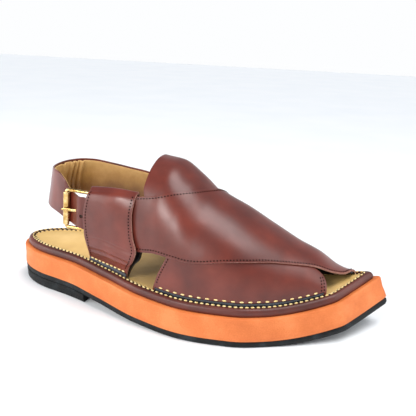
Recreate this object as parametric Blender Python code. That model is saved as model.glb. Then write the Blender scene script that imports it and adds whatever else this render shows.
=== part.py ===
"""A peshawari chappal for the right foot: crossed leather straps on a layered sole, with a buckled heel strap.

The toe points along +X, the inner (medial) side faces +Y, and the sole stands on z = 0.
Lengths are in metres. Inside the functions a place on the shoe is given by u, the distance
from the back of the heel, by y, and by a height.
"""

import math

import bmesh
import bpy
from mathutils import Vector

# Sizes of the sole
SOLE_LENGTH = 0.2935
BALL_WIDTH = 0.100
HEEL_ROUND = 0.040
TOE_CORNER_EASE = 0.004
HEEL_LIFT = 0.0075
TOE_SPRING = 0.0175
TOE_SPRING_START = 0.220
HEEL_BLOCK_LENGTH = 0.0765
OUTSOLE_THICKNESS = 0.0045
MIDSOLE_THICKNESS = 0.0165
WELT_HEIGHT = 0.0053
WELT_SETBACK = 0.0030
WELT_WIDTH = 0.0042
INSOLE_THICKNESS = 0.0048
JOIN_GAP = 0.0003

# Sizes of the leather
UPPER_WALL = 0.0020
CROSSING_BITE = 0.0007
UPPER_SETBACK = 0.0100
INSTEP_HEIGHT = 0.0810
KEEPER_WALL = 0.0018
KEEPER_ROOM = 0.0092
STRAP_THICKNESS = 0.0026
STRAP_LEVEL = 0.0830
PRONG_HOLE_CLEARANCE = 0.0008
SPARE_HOLE_RADIUS = 0.0011

# Sizes of the buckle
WIRE_RADIUS = 0.0011
BUCKLE_LENGTH = 0.0215
BUCKLE_HEIGHT = 0.0285
BUCKLE_CORNER = 0.0018
BUCKLE_STATION = 0.0635
BUCKLE_LEVEL = 0.0735
BUCKLE_DROP = 0.0013
HINGE_TURN = 0.105
ROLLER_RADIUS = 0.0021
ROLLER_STANDOFF = 0.0024
PRONG_RADIUS = 0.0009
EYE_WALL = 0.0007

# The sole's edge: station as a share of the length, then how far out the lateral and the
# medial edge lie as shares of the ball width. The heel's end and the toe are cut afterwards.
SOLE_EDGE = (
    # station, lateral, medial
    (0.00, 0.255, 0.255),
    (0.10, 0.285, 0.285),
    (0.20, 0.335, 0.330),
    (0.32, 0.435, 0.355),
    (0.44, 0.530, 0.380),
    (0.56, 0.578, 0.405),
    (0.68, 0.530, 0.420),
    (0.78, 0.390, 0.412),
    (0.86, 0.250, 0.395),
    (0.93, 0.110, 0.360),
    (1.00, -0.020, 0.283),
)
# The toe is cut straight between two corners: station as a share of the length, side as a share of the ball width
TOE_CORNER_LATERAL = (0.914, -0.142)
TOE_CORNER_MEDIAL = (1.000, 0.283)
# Rise of the heel: station as a share of the length, rise as a share of the heel lift
HEEL_RISE = (
    (0.00, 1.05),
    (0.20, 1.00),
    (0.31, 0.70),
    (0.44, 0.20),
    (0.54, 0.03),
    (0.60, 0.00),
)
# The last, a foot's form that the straps lie on. Each row is one section: station as a share of the length,
# the ridge's side as a share of the ball width, its height over the footbed as a share of the instep height,
# how square the section is, and how far its outer side swells as a share of the ball width
LAST = (
    # station, side, height, squareness, swell
    (0.24, 0.00, 1.100, 0.80, 0.050),
    (0.36, 0.00, 1.070, 0.80, 0.040),
    (0.42, 0.01, 1.028, 0.80, 0.010),
    (0.467, 0.02, 1.015, 0.80, 0.000),
    (0.520, 0.02, 0.880, 0.82, 0.000),
    (0.570, 0.02, 0.742, 0.84, 0.000),
    (0.640, 0.03, 0.635, 0.84, 0.000),
    (0.690, 0.05, 0.530, 0.84, 0.000),
    (0.767, 0.08, 0.375, 0.84, 0.000),
    (0.820, 0.11, 0.265, 0.84, 0.000),
    (0.870, 0.14, 0.105, 0.84, 0.000),
    (0.900, 0.17, 0.052, 0.84, 0.000),
    (0.930, 0.19, 0.030, 0.84, 0.000),
    (1.000, 0.20, 0.020, 0.84, 0.000),
)
# The straps on the last. Each row gives a share of the strap's length, then where its front edge and its
# rear edge lie: stations as shares of the sole's length, and turns round the section
OVER_STRAP = (
    # along, front station, front turn, rear station, rear turn, rest on the under strap
    (0.00, 0.365, 0.068, 0.365, 0.200, 1.0),
    (0.10, 0.437, 0.081, 0.420, 0.226, 1.0),
    (0.22, 0.515, 0.100, 0.467, 0.250, 1.0),
    (0.34, 0.594, 0.144, 0.502, 0.305, 1.0),
    (0.46, 0.650, 0.169, 0.532, 0.372, 1.0),
    (0.56, 0.698, 0.222, 0.548, 0.455, 1.0),
    (0.65, 0.737, 0.260, 0.558, 0.510, 1.0),
    (0.72, 0.777, 0.300, 0.568, 0.575, 1.0),
    (0.78, 0.819, 0.340, 0.575, 0.640, 1.0),
    (0.84, 0.862, 0.390, 0.585, 0.720, 1.0),
    (0.90, 0.900, 0.480, 0.600, 0.810, 0.9),
    (0.95, 0.915, 0.680, 0.610, 0.900, 0.5),
    (1.00, 0.918, 1.000, 0.620, 1.000, 0.0),
)
UNDER_STRAP = (
    # along, front station, front turn, rear station, rear turn, rest on the over strap
    (0.00, 0.860, 0.000, 0.478, 0.000, 0.0),
    (0.08, 0.860, 0.070, 0.489, 0.035, 0.0),
    (0.15, 0.857, 0.180, 0.508, 0.075, 0.0),
    (0.22, 0.845, 0.290, 0.500, 0.130, 0.0),
    (0.32, 0.800, 0.360, 0.450, 0.200, 0.0),
    (0.42, 0.737, 0.450, 0.424, 0.280, 0.0),
    (0.52, 0.670, 0.550, 0.424, 0.400, 0.0),
    (0.62, 0.610, 0.660, 0.421, 0.520, 0.0),
    (0.72, 0.590, 0.755, 0.455, 0.610, 0.0),
    (0.82, 0.580, 0.850, 0.515, 0.685, 0.0),
    (0.89, 0.566, 0.905, 0.545, 0.745, 0.0),
    (0.94, 0.545, 0.927, 0.538, 0.780, 0.0),
    (1.00, 0.490, 0.930, 0.490, 0.790, 0.0),
)
# The side loops, from the base to the fold at the top. At each height the rear and the front end have a turn
# round the last, a station, and a share of the keeper's room by which the two leaves stand apart
LATERAL_KEEPER = (
    # height, rear turn, front turn, rear station, front station, rear room, front room
    (0.00, 0.0002, 0.0002, 0.270, 0.388, 0.00, 0.00),
    (0.12, 0.024, 0.030, 0.278, 0.410, 0.40, 0.20),
    (0.28, 0.047, 0.062, 0.282, 0.419, 1.00, 0.62),
    (0.42, 0.072, 0.095, 0.281, 0.417, 1.00, 0.58),
    (0.60, 0.112, 0.140, 0.281, 0.414, 1.00, 0.56),
    (0.85, 0.172, 0.205, 0.286, 0.416, 1.00, 0.56),
    (0.95, 0.197, 0.234, 0.289, 0.417, 0.94, 0.50),
    (1.00, 0.208, 0.250, 0.292, 0.418, 0.35, 0.18),
)
MEDIAL_KEEPER = (
    # height, rear turn, front turn, rear station, front station, rear room, front room
    (0.00, 0.9998, 0.9998, 0.400, 0.515, 0.00, 0.00),
    (0.12, 0.968, 0.966, 0.394, 0.520, 0.15, 0.12),
    (0.30, 0.935, 0.930, 0.390, 0.525, 0.60, 0.52),
    (0.60, 0.875, 0.860, 0.388, 0.528, 0.62, 0.54),
    (0.85, 0.810, 0.785, 0.388, 0.528, 0.62, 0.54),
    (0.95, 0.782, 0.748, 0.388, 0.527, 0.52, 0.44),
    (1.00, 0.768, 0.730, 0.388, 0.526, 0.20, 0.16),
)
# The heel strap behind the loops: where its upper and its lower edge run. Stations are shares of the sole's
# length, sides of the ball width and levels of the strap's level
HEEL_STRAP = (
    # upper station, upper side, upper level, lower station, lower side, lower level
    (0.340, 0.290, 1.096, 0.340, 0.300, 0.765),
    (0.272, 0.305, 1.120, 0.272, 0.315, 0.783),
    (0.212, 0.300, 1.145, 0.205, 0.310, 0.795),
    (0.172, 0.265, 1.169, 0.161, 0.275, 0.813),
    (0.141, 0.190, 1.180, 0.127, 0.195, 0.825),
    (0.123, 0.090, 1.180, 0.107, 0.090, 0.831),
    (0.119, -0.020, 1.175, 0.103, -0.020, 0.831),
    (0.131, -0.140, 1.175, 0.113, -0.140, 0.825),
    (0.157, -0.235, 1.187, 0.142, -0.235, 0.819),
    (0.184, -0.290, 1.181, 0.174, -0.290, 0.807),
    (0.207, -0.318, 1.130, 0.198, -0.318, 0.786),
)
# The strap through the buckle. Places are shares of the buckle's length from its roller, of the depth behind
# the roller at which the strap passes it, and of the buckle's height
STRAP_THROUGH_BUCKLE = (
    # along, depth, upper height, lower height
    (0.02, 1.02, 0.500, -0.375),
    (0.34, 0.05, 0.410, -0.410),
    (0.58, -0.82, 0.410, -0.430),
    (0.80, -0.77, 0.400, -0.450),
)
# The strap's tail in the lateral loop
LATERAL_END = (
    # station, upper turn, lower turn, lift as a share of the keeper's room
    (0.298, 0.150, 0.068, 0.60),
    (0.320, 0.152, 0.068, 0.54),
    (0.345, 0.156, 0.068, 0.45),
)
# Where the strap's medial end lies on the last: station, then the turns of its upper and lower edge
MEDIAL_END = (
    # station, upper turn, lower turn, lift as a share of the keeper's room
    (0.465, 0.800, 0.895, 0.15),
    (0.430, 0.797, 0.900, 0.16),
    (0.395, 0.797, 0.905, 0.18),
)
# Number of stations along the sole and of columns across it
STATIONS = 30
COLUMNS = 4


def smooth(rows, x, column=1):
    """Reads a column of a table at x on a curve that never overshoots its rows."""
    xs = [r[0] for r in rows]
    ys = [r[column] for r in rows]
    if x <= xs[0]:
        return ys[0]
    if x >= xs[-1]:
        return ys[-1]
    steps = [(ys[i + 1] - ys[i]) / (xs[i + 1] - xs[i]) for i in range(len(xs) - 1)]
    slopes = [steps[0]]
    for before, after in zip(steps, steps[1:]):
        slopes.append(0.0 if before * after <= 0 else 2 * before * after / (before + after))
    slopes.append(steps[-1])
    i = max(k for k in range(len(xs) - 1) if xs[k] <= x)
    width = xs[i + 1] - xs[i]
    t = (x - xs[i]) / width
    return (
        ys[i] * (1 + 2 * t) * (1 - t) ** 2
        + slopes[i] * width * t * (1 - t) ** 2
        + ys[i + 1] * t * t * (3 - 2 * t)
        + slopes[i + 1] * width * t * t * (t - 1)
    )


def edge_y(u, side):
    """The sole's edge at u: side -1 is lateral and 1 is medial."""
    half = BALL_WIDTH * smooth(SOLE_EDGE, u / SOLE_LENGTH, 1 if side < 0 else 2)
    if u < HEEL_ROUND:
        half *= math.sqrt(max(0.0, 1 - (1 - u / HEEL_ROUND) ** 2))
    return side * half


def sole_rise(u):
    """Height of the joint between outsole and midsole."""
    spring = max(0.0, (u - TOE_SPRING_START) / (SOLE_LENGTH - TOE_SPRING_START))
    return (
        OUTSOLE_THICKNESS
        + HEEL_LIFT * smooth(HEEL_RISE, u / SOLE_LENGTH)
        + TOE_SPRING * spring**1.8
    )


def on_sole(u, y, height):
    """A point of the bent sole, height above the outsole's top, square to its curve."""
    step = 0.0005
    slope = (sole_rise(u + step) - sole_rise(u - step)) / (2 * step)
    run = math.sqrt(1 + slope * slope)
    return Vector((u - slope / run * height, y, sole_rise(u) + height / run))


def toe_corner(corner):
    return Vector((corner[0] * SOLE_LENGTH, corner[1] * BALL_WIDTH))


def side_path(side, setback):
    """The edge from the heel's back to the toe's middle on one side, set back evenly from the sole's edge."""
    lateral, medial = toe_corner(TOE_CORNER_LATERAL), toe_corner(TOE_CORNER_MEDIAL)
    corner = lateral if side < 0 else medial
    count = 90
    path = []
    for i in range(count + 1):
        share = i / count
        u = corner.x * share * share
        path.append(Vector((u, edge_y(u, side))))
    path[-1] = corner
    front = (medial - lateral).normalized()
    inward = Vector((-front.y, front.x))
    shifted = []
    for i, point in enumerate(path):
        if i == 0:
            shifted.append(Vector((setback, 0.0)))
            continue
        along = (path[min(i + 1, count)] - path[i - 1]).normalized()
        shifted.append(point + Vector((along.y * side, -along.x * side)) * setback)
    toe_point = lateral + inward * setback
    kept = [p for p in shifted if (p - toe_point).dot(inward) > 0]
    last, beyond = kept[-1], shifted[min(len(kept), count)]
    reach, over = (last - toe_point).dot(inward), (beyond - toe_point).dot(inward)
    if over < 0:
        cut = last + (beyond - last) * (reach / (reach - over))
    else:
        along = (kept[-1] - kept[-2]).normalized()
        cut = last + along * (reach / -along.dot(inward))
    middle = (lateral + medial) / 2 + inward * setback
    back = (kept[-2] - cut).normalized()
    start = cut + back * TOE_CORNER_EASE
    end = cut + (middle - cut).normalized() * TOE_CORNER_EASE
    kept = [p for p in kept if (p - cut).dot(back) > TOE_CORNER_EASE]
    ease = [
        start * (1 - t) ** 2 + cut * 2 * t * (1 - t) + end * t * t for t in (0.0, 0.33, 0.67, 1.0)
    ]
    return kept, ease, middle


def even(path, shares):
    """Points of a path at shares of its length."""
    lengths = [0.0]
    for a, b in zip(path, path[1:]):
        lengths.append(lengths[-1] + (b - a).length)
    points = []
    for share in shares:
        target = share * lengths[-1]
        i = max(k for k in range(len(path) - 1) if lengths[k] <= target + 1e-12)
        span = lengths[i + 1] - lengths[i]
        points.append(path[i].lerp(path[i + 1], (target - lengths[i]) / span))
    return points


def outline_sides(setback):
    """Matching points of the lateral and the medial edge, from the heel's back to the toe's middle."""
    sides = []
    for side in (-1, 1):
        kept, ease, middle = side_path(side, setback)
        count = STATIONS - len(ease) - 2
        shares = [(i / count) ** 1.35 for i in range(count)]
        points = even(kept + [ease[0]], shares)
        points += ease
        points.append(ease[-1].lerp(middle, 0.5))
        points.append(middle)
        sides.append(points)
    return sides


def origin_of_sole():
    """Middle of the sole's own box, which the part's origin stands under."""
    lateral, medial = outline_sides(0.0)
    everything = lateral + medial
    lows = [min(p[i] for p in everything) for i in (0, 1)]
    highs = [max(p[i] for p in everything) for i in (0, 1)]
    return Vector(((lows[0] + highs[0]) / 2, (lows[1] + highs[1]) / 2, 0.0))


def footbed(u):
    """The sole's own station under a place u of the footbed, and the footbed's level there."""
    height = MIDSOLE_THICKNESS + INSOLE_THICKNESS
    station = u
    for _ in range(12):
        station += u - on_sole(station, 0.0, height).x
    return station, on_sole(station, 0.0, height).z + JOIN_GAP


def last_point(u, turn):
    """A point of the last: turn runs from 0 at the lateral base over the ridge to 1 at the medial base."""
    station, level = footbed(u)
    side, height, square, swell = (smooth(LAST, u / SOLE_LENGTH, k) for k in (1, 2, 3, 4))
    angle = math.pi * turn
    across, rise = math.cos(angle), math.sin(angle)
    direction = -1 if across > 0 else 1
    slope = (edge_y(station + 0.001, direction) - edge_y(station - 0.001, direction)) / 0.002
    base = edge_y(station, direction) - direction * UPPER_SETBACK * math.sqrt(1 + slope * slope)
    ridge = side * BALL_WIDTH
    y = ridge + (base - ridge) * abs(across) ** square
    y += direction * swell * BALL_WIDTH * abs(math.sin(2 * angle))
    return Vector((u, y, level + INSTEP_HEIGHT * height * max(rise, 0.0) ** square))


def on_last(u, turn, lift=0.0):
    """A point over the last, lift outwards from its surface."""
    step = 0.002
    low, high = max(turn - step, 0.001), min(turn + step, 0.999)
    along = last_point(u + step / 10, turn) - last_point(u - step / 10, turn)
    across = last_point(u, high) - last_point(u, low)
    return last_point(u, turn) + across.cross(along).normalized() * -lift


def clear_scene():
    for found in list(bpy.data.objects):
        bpy.data.objects.remove(found)


def make_collection(name):
    collection = bpy.data.collections.new(name)
    bpy.context.scene.collection.children.link(collection)
    return collection


def material(name, colour, roughness, metallic=0.0):
    made = bpy.data.materials.new(name)
    made.use_nodes = True
    shader = made.node_tree.nodes["Principled BSDF"]
    shader.inputs["Base Color"].default_value = (*colour, 1.0)
    shader.inputs["Roughness"].default_value = roughness
    shader.inputs["Metallic"].default_value = metallic
    return made


def add_object(name, bm, finish, collection):
    """Turns a bmesh in shoe coordinates into an object in the part's frame."""
    bmesh.ops.remove_doubles(bm, verts=bm.verts, dist=1e-7)
    bmesh.ops.recalc_face_normals(bm, faces=bm.faces)
    bmesh.ops.translate(bm, verts=bm.verts, vec=-ORIGIN)
    mesh = bpy.data.meshes.new(name)
    bm.to_mesh(mesh)
    bm.free()
    mesh.shade_smooth()
    mesh.set_sharp_from_angle(angle=math.radians(40))
    mesh.materials.append(finish)
    made = bpy.data.objects.new(name, mesh)
    collection.objects.link(made)
    return made


def skin(bm, rings, closed=True):
    """Joins rings of points with quads, each ring to the next."""
    for ring, following in zip(rings, rings[1:]):
        count = len(ring)
        for i in range(count if closed else count - 1):
            j = (i + 1) % count
            corners = (ring[i], ring[j], following[j], following[i])
            if len(set(corners)) > 2:
                bm.faces.new([v for k, v in enumerate(corners) if v not in corners[:k]])


def ring_points(setback, place):
    """The whole outline as one ring of placed points, the lateral side forwards and the medial side back."""
    lateral, medial = outline_sides(setback)
    return [place(p.x, p.y) for p in lateral] + [place(p.x, p.y) for p in medial[-2:0:-1]]


def cap(bm, ring, setback, place):
    """Fills a ring with stations across the sole, so that the face follows its bend."""
    lateral, medial = outline_sides(setback)
    count = len(lateral)
    rows = []
    for k in range(count):
        left = ring[k]
        right = ring[(2 * count - 2 - k) % len(ring)]
        if k in (0, count - 1):
            rows.append([left])
            continue
        inner = []
        for c in range(1, COLUMNS):
            p = lateral[k].lerp(medial[k], c / COLUMNS)
            inner.append(bm.verts.new(place(p.x, p.y)))
        rows.append([left, *inner, right])
    for row, following in zip(rows, rows[1:]):
        if len(row) == 1:
            for a, b in zip(following, following[1:]):
                bm.faces.new((row[0], a, b))
        elif len(following) == 1:
            for a, b in zip(row, row[1:]):
                bm.faces.new((a, b, following[0]))
        else:
            for i in range(len(row) - 1):
                bm.faces.new((row[i], row[i + 1], following[i + 1], following[i]))


def layer(name, profile, finish, collection):
    """A layer of the sole. The profile's rows give a setback from the sole's edge and a height on the bent sole."""
    bm = bmesh.new()
    rings = []
    for setback, height in profile:

        def place(u, y, height=height):
            return on_sole(u, y, height)

        rings.append([bm.verts.new(p) for p in ring_points(setback, place)])
    skin(bm, rings)
    for (setback, height), ring in ((profile[0], rings[0]), (profile[-1], rings[-1])):

        def place(u, y, height=height):
            return on_sole(u, y, height)

        cap(bm, ring, setback, place)
    return add_object(name, bm, finish, collection)


def make_outsole(finish, collection):
    """Thin rubber sheet under the whole sole, with its lower edge eased."""
    ease = 0.0008
    profile = (
        (2 * ease, -OUTSOLE_THICKNESS),
        (ease, -OUTSOLE_THICKNESS + ease),
        (ease / 2, -JOIN_GAP),
    )
    return layer("outsole", profile, finish, collection)


def make_midsole(finish, collection):
    """Thick foam wedge, set a little proud of the outsole."""
    ease = 0.0009
    profile = (
        (ease, 0.0),
        (0.0, ease),
        (0.0, MIDSOLE_THICKNESS - 1.3 * ease),
        (ease, MIDSOLE_THICKNESS),
    )
    return layer("midsole", profile, finish, collection)


def make_insole(finish, collection):
    """Leather-faced footbed inside the welt."""
    setback = WELT_SETBACK + WELT_WIDTH + JOIN_GAP
    ease = 0.0006
    bottom = MIDSOLE_THICKNESS + JOIN_GAP
    top = MIDSOLE_THICKNESS + INSOLE_THICKNESS
    profile = ((setback, bottom), (setback, top - ease), (setback + ease, top))
    return layer("insole", profile, finish, collection)


def make_welt(finish, collection):
    """Leather strip round the footbed's edge, with a rolled outer side."""
    foot = MIDSOLE_THICKNESS + JOIN_GAP
    outer, inner, height = WELT_SETBACK, WELT_SETBACK + WELT_WIDTH, WELT_HEIGHT
    section = (
        # setback, height
        (outer + 0.10 * WELT_WIDTH, foot),
        (outer, foot + 0.35 * height),
        (outer + 0.06 * WELT_WIDTH, foot + 0.68 * height),
        (outer + 0.28 * WELT_WIDTH, foot + 0.92 * height),
        (outer + 0.55 * WELT_WIDTH, foot + height),
        (inner, foot + 0.94 * height),
        (inner, foot),
    )
    bm = bmesh.new()
    rings = []
    for setback, level in section:

        def place(u, y, level=level):
            return on_sole(u, y, level)

        rings.append([bm.verts.new(p) for p in ring_points(setback, place)])
    skin(bm, [*rings, rings[0]])
    return add_object("welt", bm, finish, collection)


def make_heel(finish, collection):
    """Rubber heel block from the floor up to the outsole, ending in a straight breast."""
    ease = 0.0022
    stations = 12
    shares = [(i / stations) ** 1.5 for i in range(stations + 1)]
    top_gap = OUTSOLE_THICKNESS + JOIN_GAP

    def ring(setback, height_of):
        points = []
        us = [setback + (HEEL_BLOCK_LENGTH - setback) * s for s in shares]
        for side, ordered in ((-1, us), (1, us[::-1])):
            for u in ordered:
                start = u == us[0]
                if start and side == 1:
                    continue
                y = 0.0 if start else edge_y(u, side) - side * setback
                if u < HEEL_ROUND and not start:
                    reach = HEEL_ROUND - setback
                    half = BALL_WIDTH * smooth(SOLE_EDGE, u / SOLE_LENGTH, 1) - setback
                    y = side * half * math.sqrt(1 - ((HEEL_ROUND - u) / reach) ** 2)
                points.append(Vector((u, y, height_of(u))))
        return points

    def top(u):
        return on_sole(u, 0.0, -top_gap).z

    levels = (
        (ease, lambda u: 0.0),
        (0.6 * ease, lambda u: 0.3 * ease),
        (0.4 * ease, lambda u: ease),
        (0.3 * ease, top),
    )
    bm = bmesh.new()
    rings = [[bm.verts.new(p) for p in ring(setback, level)] for setback, level in levels]
    skin(bm, rings)
    for closing in (rings[0], rings[-1]):
        count = len(closing)
        for k in range(count // 2):
            a, b = closing[k], closing[k + 1]
            c, d = closing[(-k - 1) % count], closing[-k % count]
            corners = [v for i, v in enumerate((a, b, c, d)) if v not in (a, b, c, d)[:i]]
            if len(corners) > 2:
                bm.faces.new(corners)
    return add_object("heel", bm, finish, collection)


def sheet(name, inner, outer, finish, collection):
    """A wall between two grids of points, closed round its rim."""
    bm = bmesh.new()
    rows, columns = len(inner), len(inner[0])
    below = [[bm.verts.new(p) for p in row] for row in inner]
    above = [[bm.verts.new(p) for p in row] for row in outer]
    for grid in (below, above):
        for j in range(rows - 1):
            for i in range(columns - 1):
                bm.faces.new((grid[j][i], grid[j][i + 1], grid[j + 1][i + 1], grid[j + 1][i]))
    for j in range(rows - 1):
        for i in (0, columns - 1):
            bm.faces.new((below[j][i], below[j + 1][i], above[j + 1][i], above[j][i]))
    for i in range(columns - 1):
        for j in (0, rows - 1):
            bm.faces.new((below[j][i], below[j][i + 1], above[j][i + 1], above[j][i]))
    return add_object(name, bm, finish, collection)


def strap_on_last(name, table, rows, columns, finish, collection):
    """A strap that follows the last, and rests on the other strap where its table says so."""
    inner, outer = [], []
    for j in range(rows + 1):
        front, front_turn, rear, rear_turn, rest = (smooth(table, j / rows, k) for k in range(1, 6))
        lift = rest * (UPPER_WALL - CROSSING_BITE)
        places = []
        for i in range(columns + 1):
            share = i / columns
            u = (front + (rear - front) * share) * SOLE_LENGTH
            places.append((u, front_turn + (rear_turn - front_turn) * share))
        inner.append([on_last(u, turn, lift) for u, turn in places])
        outer.append([on_last(u, turn, lift + UPPER_WALL) for u, turn in places])
    return sheet(name, inner, outer, finish, collection)


def make_upper(finish, collection, cutters):
    """Two crossed straps joined where one lies on the other."""
    upper = strap_on_last("upper", UNDER_STRAP, 40, 14, finish, collection)
    over = strap_on_last("over_strap", OVER_STRAP, 40, 14, finish, cutters)
    over.hide_render = True
    over.display_type = "WIRE"
    joint = upper.modifiers.new("crossing", "BOOLEAN")
    joint.operation = "UNION"
    joint.object = over
    return upper


def make_keeper(name, table, finish, collection):
    """A loop of folded leather on one side. Its two leaves stand apart so that straps pass between them."""
    stations = 7
    heights = (0.0, 0.06, 0.12, 0.21, 0.30, 0.45, 0.60, 0.73, 0.85, 0.91, 0.95, 0.98, 1.0)
    tunnel_heights = [0.10 + 0.865 * h for h in heights]

    def leaf_point(height, share, across):
        rear_turn, front_turn, rear, front, rear_room, front_room = (smooth(table, height, k) for k in range(1, 7))
        turn = rear_turn + (front_turn - rear_turn) * share
        u = (rear + (front - rear) * share) * SOLE_LENGTH
        room = (rear_room + (front_room - rear_room) * share) * KEEPER_ROOM
        return on_last(u, turn, across(room))

    inside = -KEEPER_WALL - JOIN_GAP
    rings, holes = [], []
    for k in range(stations + 1):
        share = k / stations
        ring = [leaf_point(h, share, lambda room: inside + 2 * KEEPER_WALL + room) for h in heights]
        ring += [leaf_point(h, share, lambda room: inside) for h in heights[::-1]]
        hole = [leaf_point(h, share, lambda room: inside + KEEPER_WALL + room) for h in tunnel_heights]
        hole += [leaf_point(h, share, lambda room: inside + KEEPER_WALL) for h in tunnel_heights[::-1]]
        rings.append(ring)
        holes.append(hole)
    bm = bmesh.new()
    ring_verts = [[bm.verts.new(p) for p in ring] for ring in rings]
    hole_verts = [[bm.verts.new(p) for p in hole] for hole in holes]
    skin(bm, ring_verts)
    skin(bm, hole_verts)
    for end in (0, stations):
        skin(bm, [ring_verts[end], hole_verts[end]])
    return add_object(name, bm, finish, collection)


def spline(points, share):
    """A smooth curve through points, read at a share of their count."""
    place = share * (len(points) - 1)
    i = min(int(place), len(points) - 2)
    t = place - i
    a, b = points[i], points[i + 1]
    before = points[i - 1] if i else a * 2 - b
    after = points[i + 2] if i + 2 < len(points) else b * 2 - a
    leave, arrive = (b - before) / 2, (after - a) / 2
    return (
        a * (1 + 2 * t) * (1 - t) ** 2
        + leave * t * (1 - t) ** 2
        + b * t * t * (3 - 2 * t)
        + arrive * t * t * (t - 1)
    )


def strap_lines():
    """The upper edge, the middle and the lower edge of the heel strap's middle surface."""
    upper, middle, lower = [], [], []

    def add_on_last(rows):
        for station, upper_turn, lower_turn, lift in rows:
            middle_turn = (upper_turn + lower_turn) / 2
            for line, turn in ((upper, upper_turn), (middle, middle_turn), (lower, lower_turn)):
                line.append(on_last(station * SOLE_LENGTH, turn, lift * KEEPER_ROOM))

    add_on_last(MEDIAL_END)
    for row in HEEL_STRAP:
        for line, (station, side, level) in ((upper, row[:3]), (lower, row[3:])):
            line.append(Vector((station * SOLE_LENGTH, side * BALL_WIDTH, level * STRAP_LEVEL)))
        middle.append((upper[-1] + lower[-1]) / 2)
    for along, depth, high, low in STRAP_THROUGH_BUCKLE:
        behind = Vector((0.0, depth * (ROLLER_RADIUS + STRAP_THICKNESS / 2 + JOIN_GAP), 0.0))
        for line, height in ((upper, high), (middle, (high + low) / 2), (lower, low)):
            line.append(buckle_place(along, height * BUCKLE_HEIGHT) + behind)
    add_on_last(LATERAL_END)
    return upper, middle, lower


def make_heel_strap(finish, collection, cutters):
    """One strap round the heel, pierced by the buckle's prong and by a spare hole."""
    upper, middle, lower = strap_lines()
    steps = 4 * (len(upper) - 1)
    columns = 4

    def place(share, up):
        bottom, centre, top = (spline(line, share) for line in (lower, middle, upper))
        bow = centre - (bottom + top) / 2
        return bottom.lerp(top, up) + bow * 4 * up * (1 - up)

    inner, outer = [], []
    for j in range(steps + 1):
        ahead, behind = min(j + 0.5, steps) / steps, max(j - 0.5, 0) / steps
        inner.append([])
        outer.append([])
        for i in range(columns + 1):
            up = i / columns
            along = place(ahead, up) - place(behind, up)
            across = place(j / steps, min(up + 0.1, 1)) - place(j / steps, max(up - 0.1, 0))
            out = along.cross(across).normalized() * (STRAP_THICKNESS / 2)
            inner[-1].append(place(j / steps, up) - out)
            outer[-1].append(place(j / steps, up) + out)
    strap = sheet("heel_strap", inner, outer, finish, collection)
    hinge, tip = prong_ends()
    for name, start, end, radius in (
        ("prong_hole", hinge, tip, PRONG_RADIUS + PRONG_HOLE_CLEARANCE),
        ("spare_hole", *spare_hole_ends(), SPARE_HOLE_RADIUS),
    ):
        cutter = rod(name, start, end, radius, 12, finish, cutters)
        cutter.hide_render = True
        cutter.display_type = "WIRE"
        cut = strap.modifiers.new(name, "BOOLEAN")
        cut.operation = "DIFFERENCE"
        cut.object = cutter
    return strap


def rod(name, start, end, radius, sides, finish, collection):
    """A round bar between two points."""
    bm = bmesh.new()
    along = end - start
    bmesh.ops.create_cone(
        bm, cap_ends=True, segments=sides, radius1=radius, radius2=radius, depth=along.length
    )
    turn = along.to_track_quat("Z", "Y").to_matrix().to_4x4()
    turn.translation = (start + end) / 2
    bmesh.ops.transform(bm, matrix=turn, verts=bm.verts)
    return add_object(name, bm, finish, collection)


def buckle_place(share, height):
    """A point of the buckle's plane: share runs from the roller bar to the hinge bar, height from its middle."""
    hinge = on_last(BUCKLE_STATION + BUCKLE_LENGTH, HINGE_TURN, WIRE_RADIUS + EYE_WALL + 2 * JOIN_GAP)
    u = BUCKLE_STATION + share * BUCKLE_LENGTH
    y = hinge.y - (1 - share) * ROLLER_STANDOFF
    return Vector((u + height * BUCKLE_DROP / BUCKLE_LENGTH, y, BUCKLE_LEVEL + height - share * BUCKLE_DROP))


def prong_ends():
    """The prong's middle line, from the hinge bar to its tip on the roller."""
    hinge = buckle_place(1.0, 0.0)
    reach = ROLLER_RADIUS + PRONG_RADIUS + JOIN_GAP
    over_roller = buckle_place(0.0, 0.0) - Vector((0.0, reach, 0.0))
    return hinge, over_roller + (over_roller - hinge) * 0.08


def spare_hole_ends():
    middle = buckle_place(0.66, -0.10 * BUCKLE_HEIGHT)
    reach = Vector((0.0, 0.008, 0.0))
    return middle - reach, middle + reach


def round_wire(name, places, radius, closed, finish, collection):
    """A bent round wire through places."""
    curve = bpy.data.curves.new(name, "CURVE")
    curve.dimensions = "3D"
    curve.bevel_depth = radius
    curve.bevel_resolution = 2
    curve.use_fill_caps = not closed
    line = curve.splines.new("POLY")
    line.points.add(len(places) - 1)
    for point, place in zip(line.points, places):
        point.co = (*(place - ORIGIN), 1.0)
    line.use_cyclic_u = closed
    curve.materials.append(finish)
    wire = bpy.data.objects.new(name, curve)
    collection.objects.link(wire)
    return wire


def make_buckle_frame(finish, collection):
    """Rectangle of bent brass wire with rounded corners."""
    places = []
    half = BUCKLE_HEIGHT / 2
    share = BUCKLE_CORNER / BUCKLE_LENGTH
    corners = (
        (share, half - BUCKLE_CORNER, 90, 180),
        (share, -half + BUCKLE_CORNER, 180, 270),
        (1 - share, -half + BUCKLE_CORNER, 270, 360),
        (1 - share, half - BUCKLE_CORNER, 0, 90),
    )
    for middle, height, start, end in corners:
        for step in range(5):
            angle = math.radians(start + (end - start) * step / 4)
            places.append(
                buckle_place(middle + share * math.cos(angle), height + BUCKLE_CORNER * math.sin(angle))
            )
    return round_wire("buckle_frame", places, WIRE_RADIUS, True, finish, collection)


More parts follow.
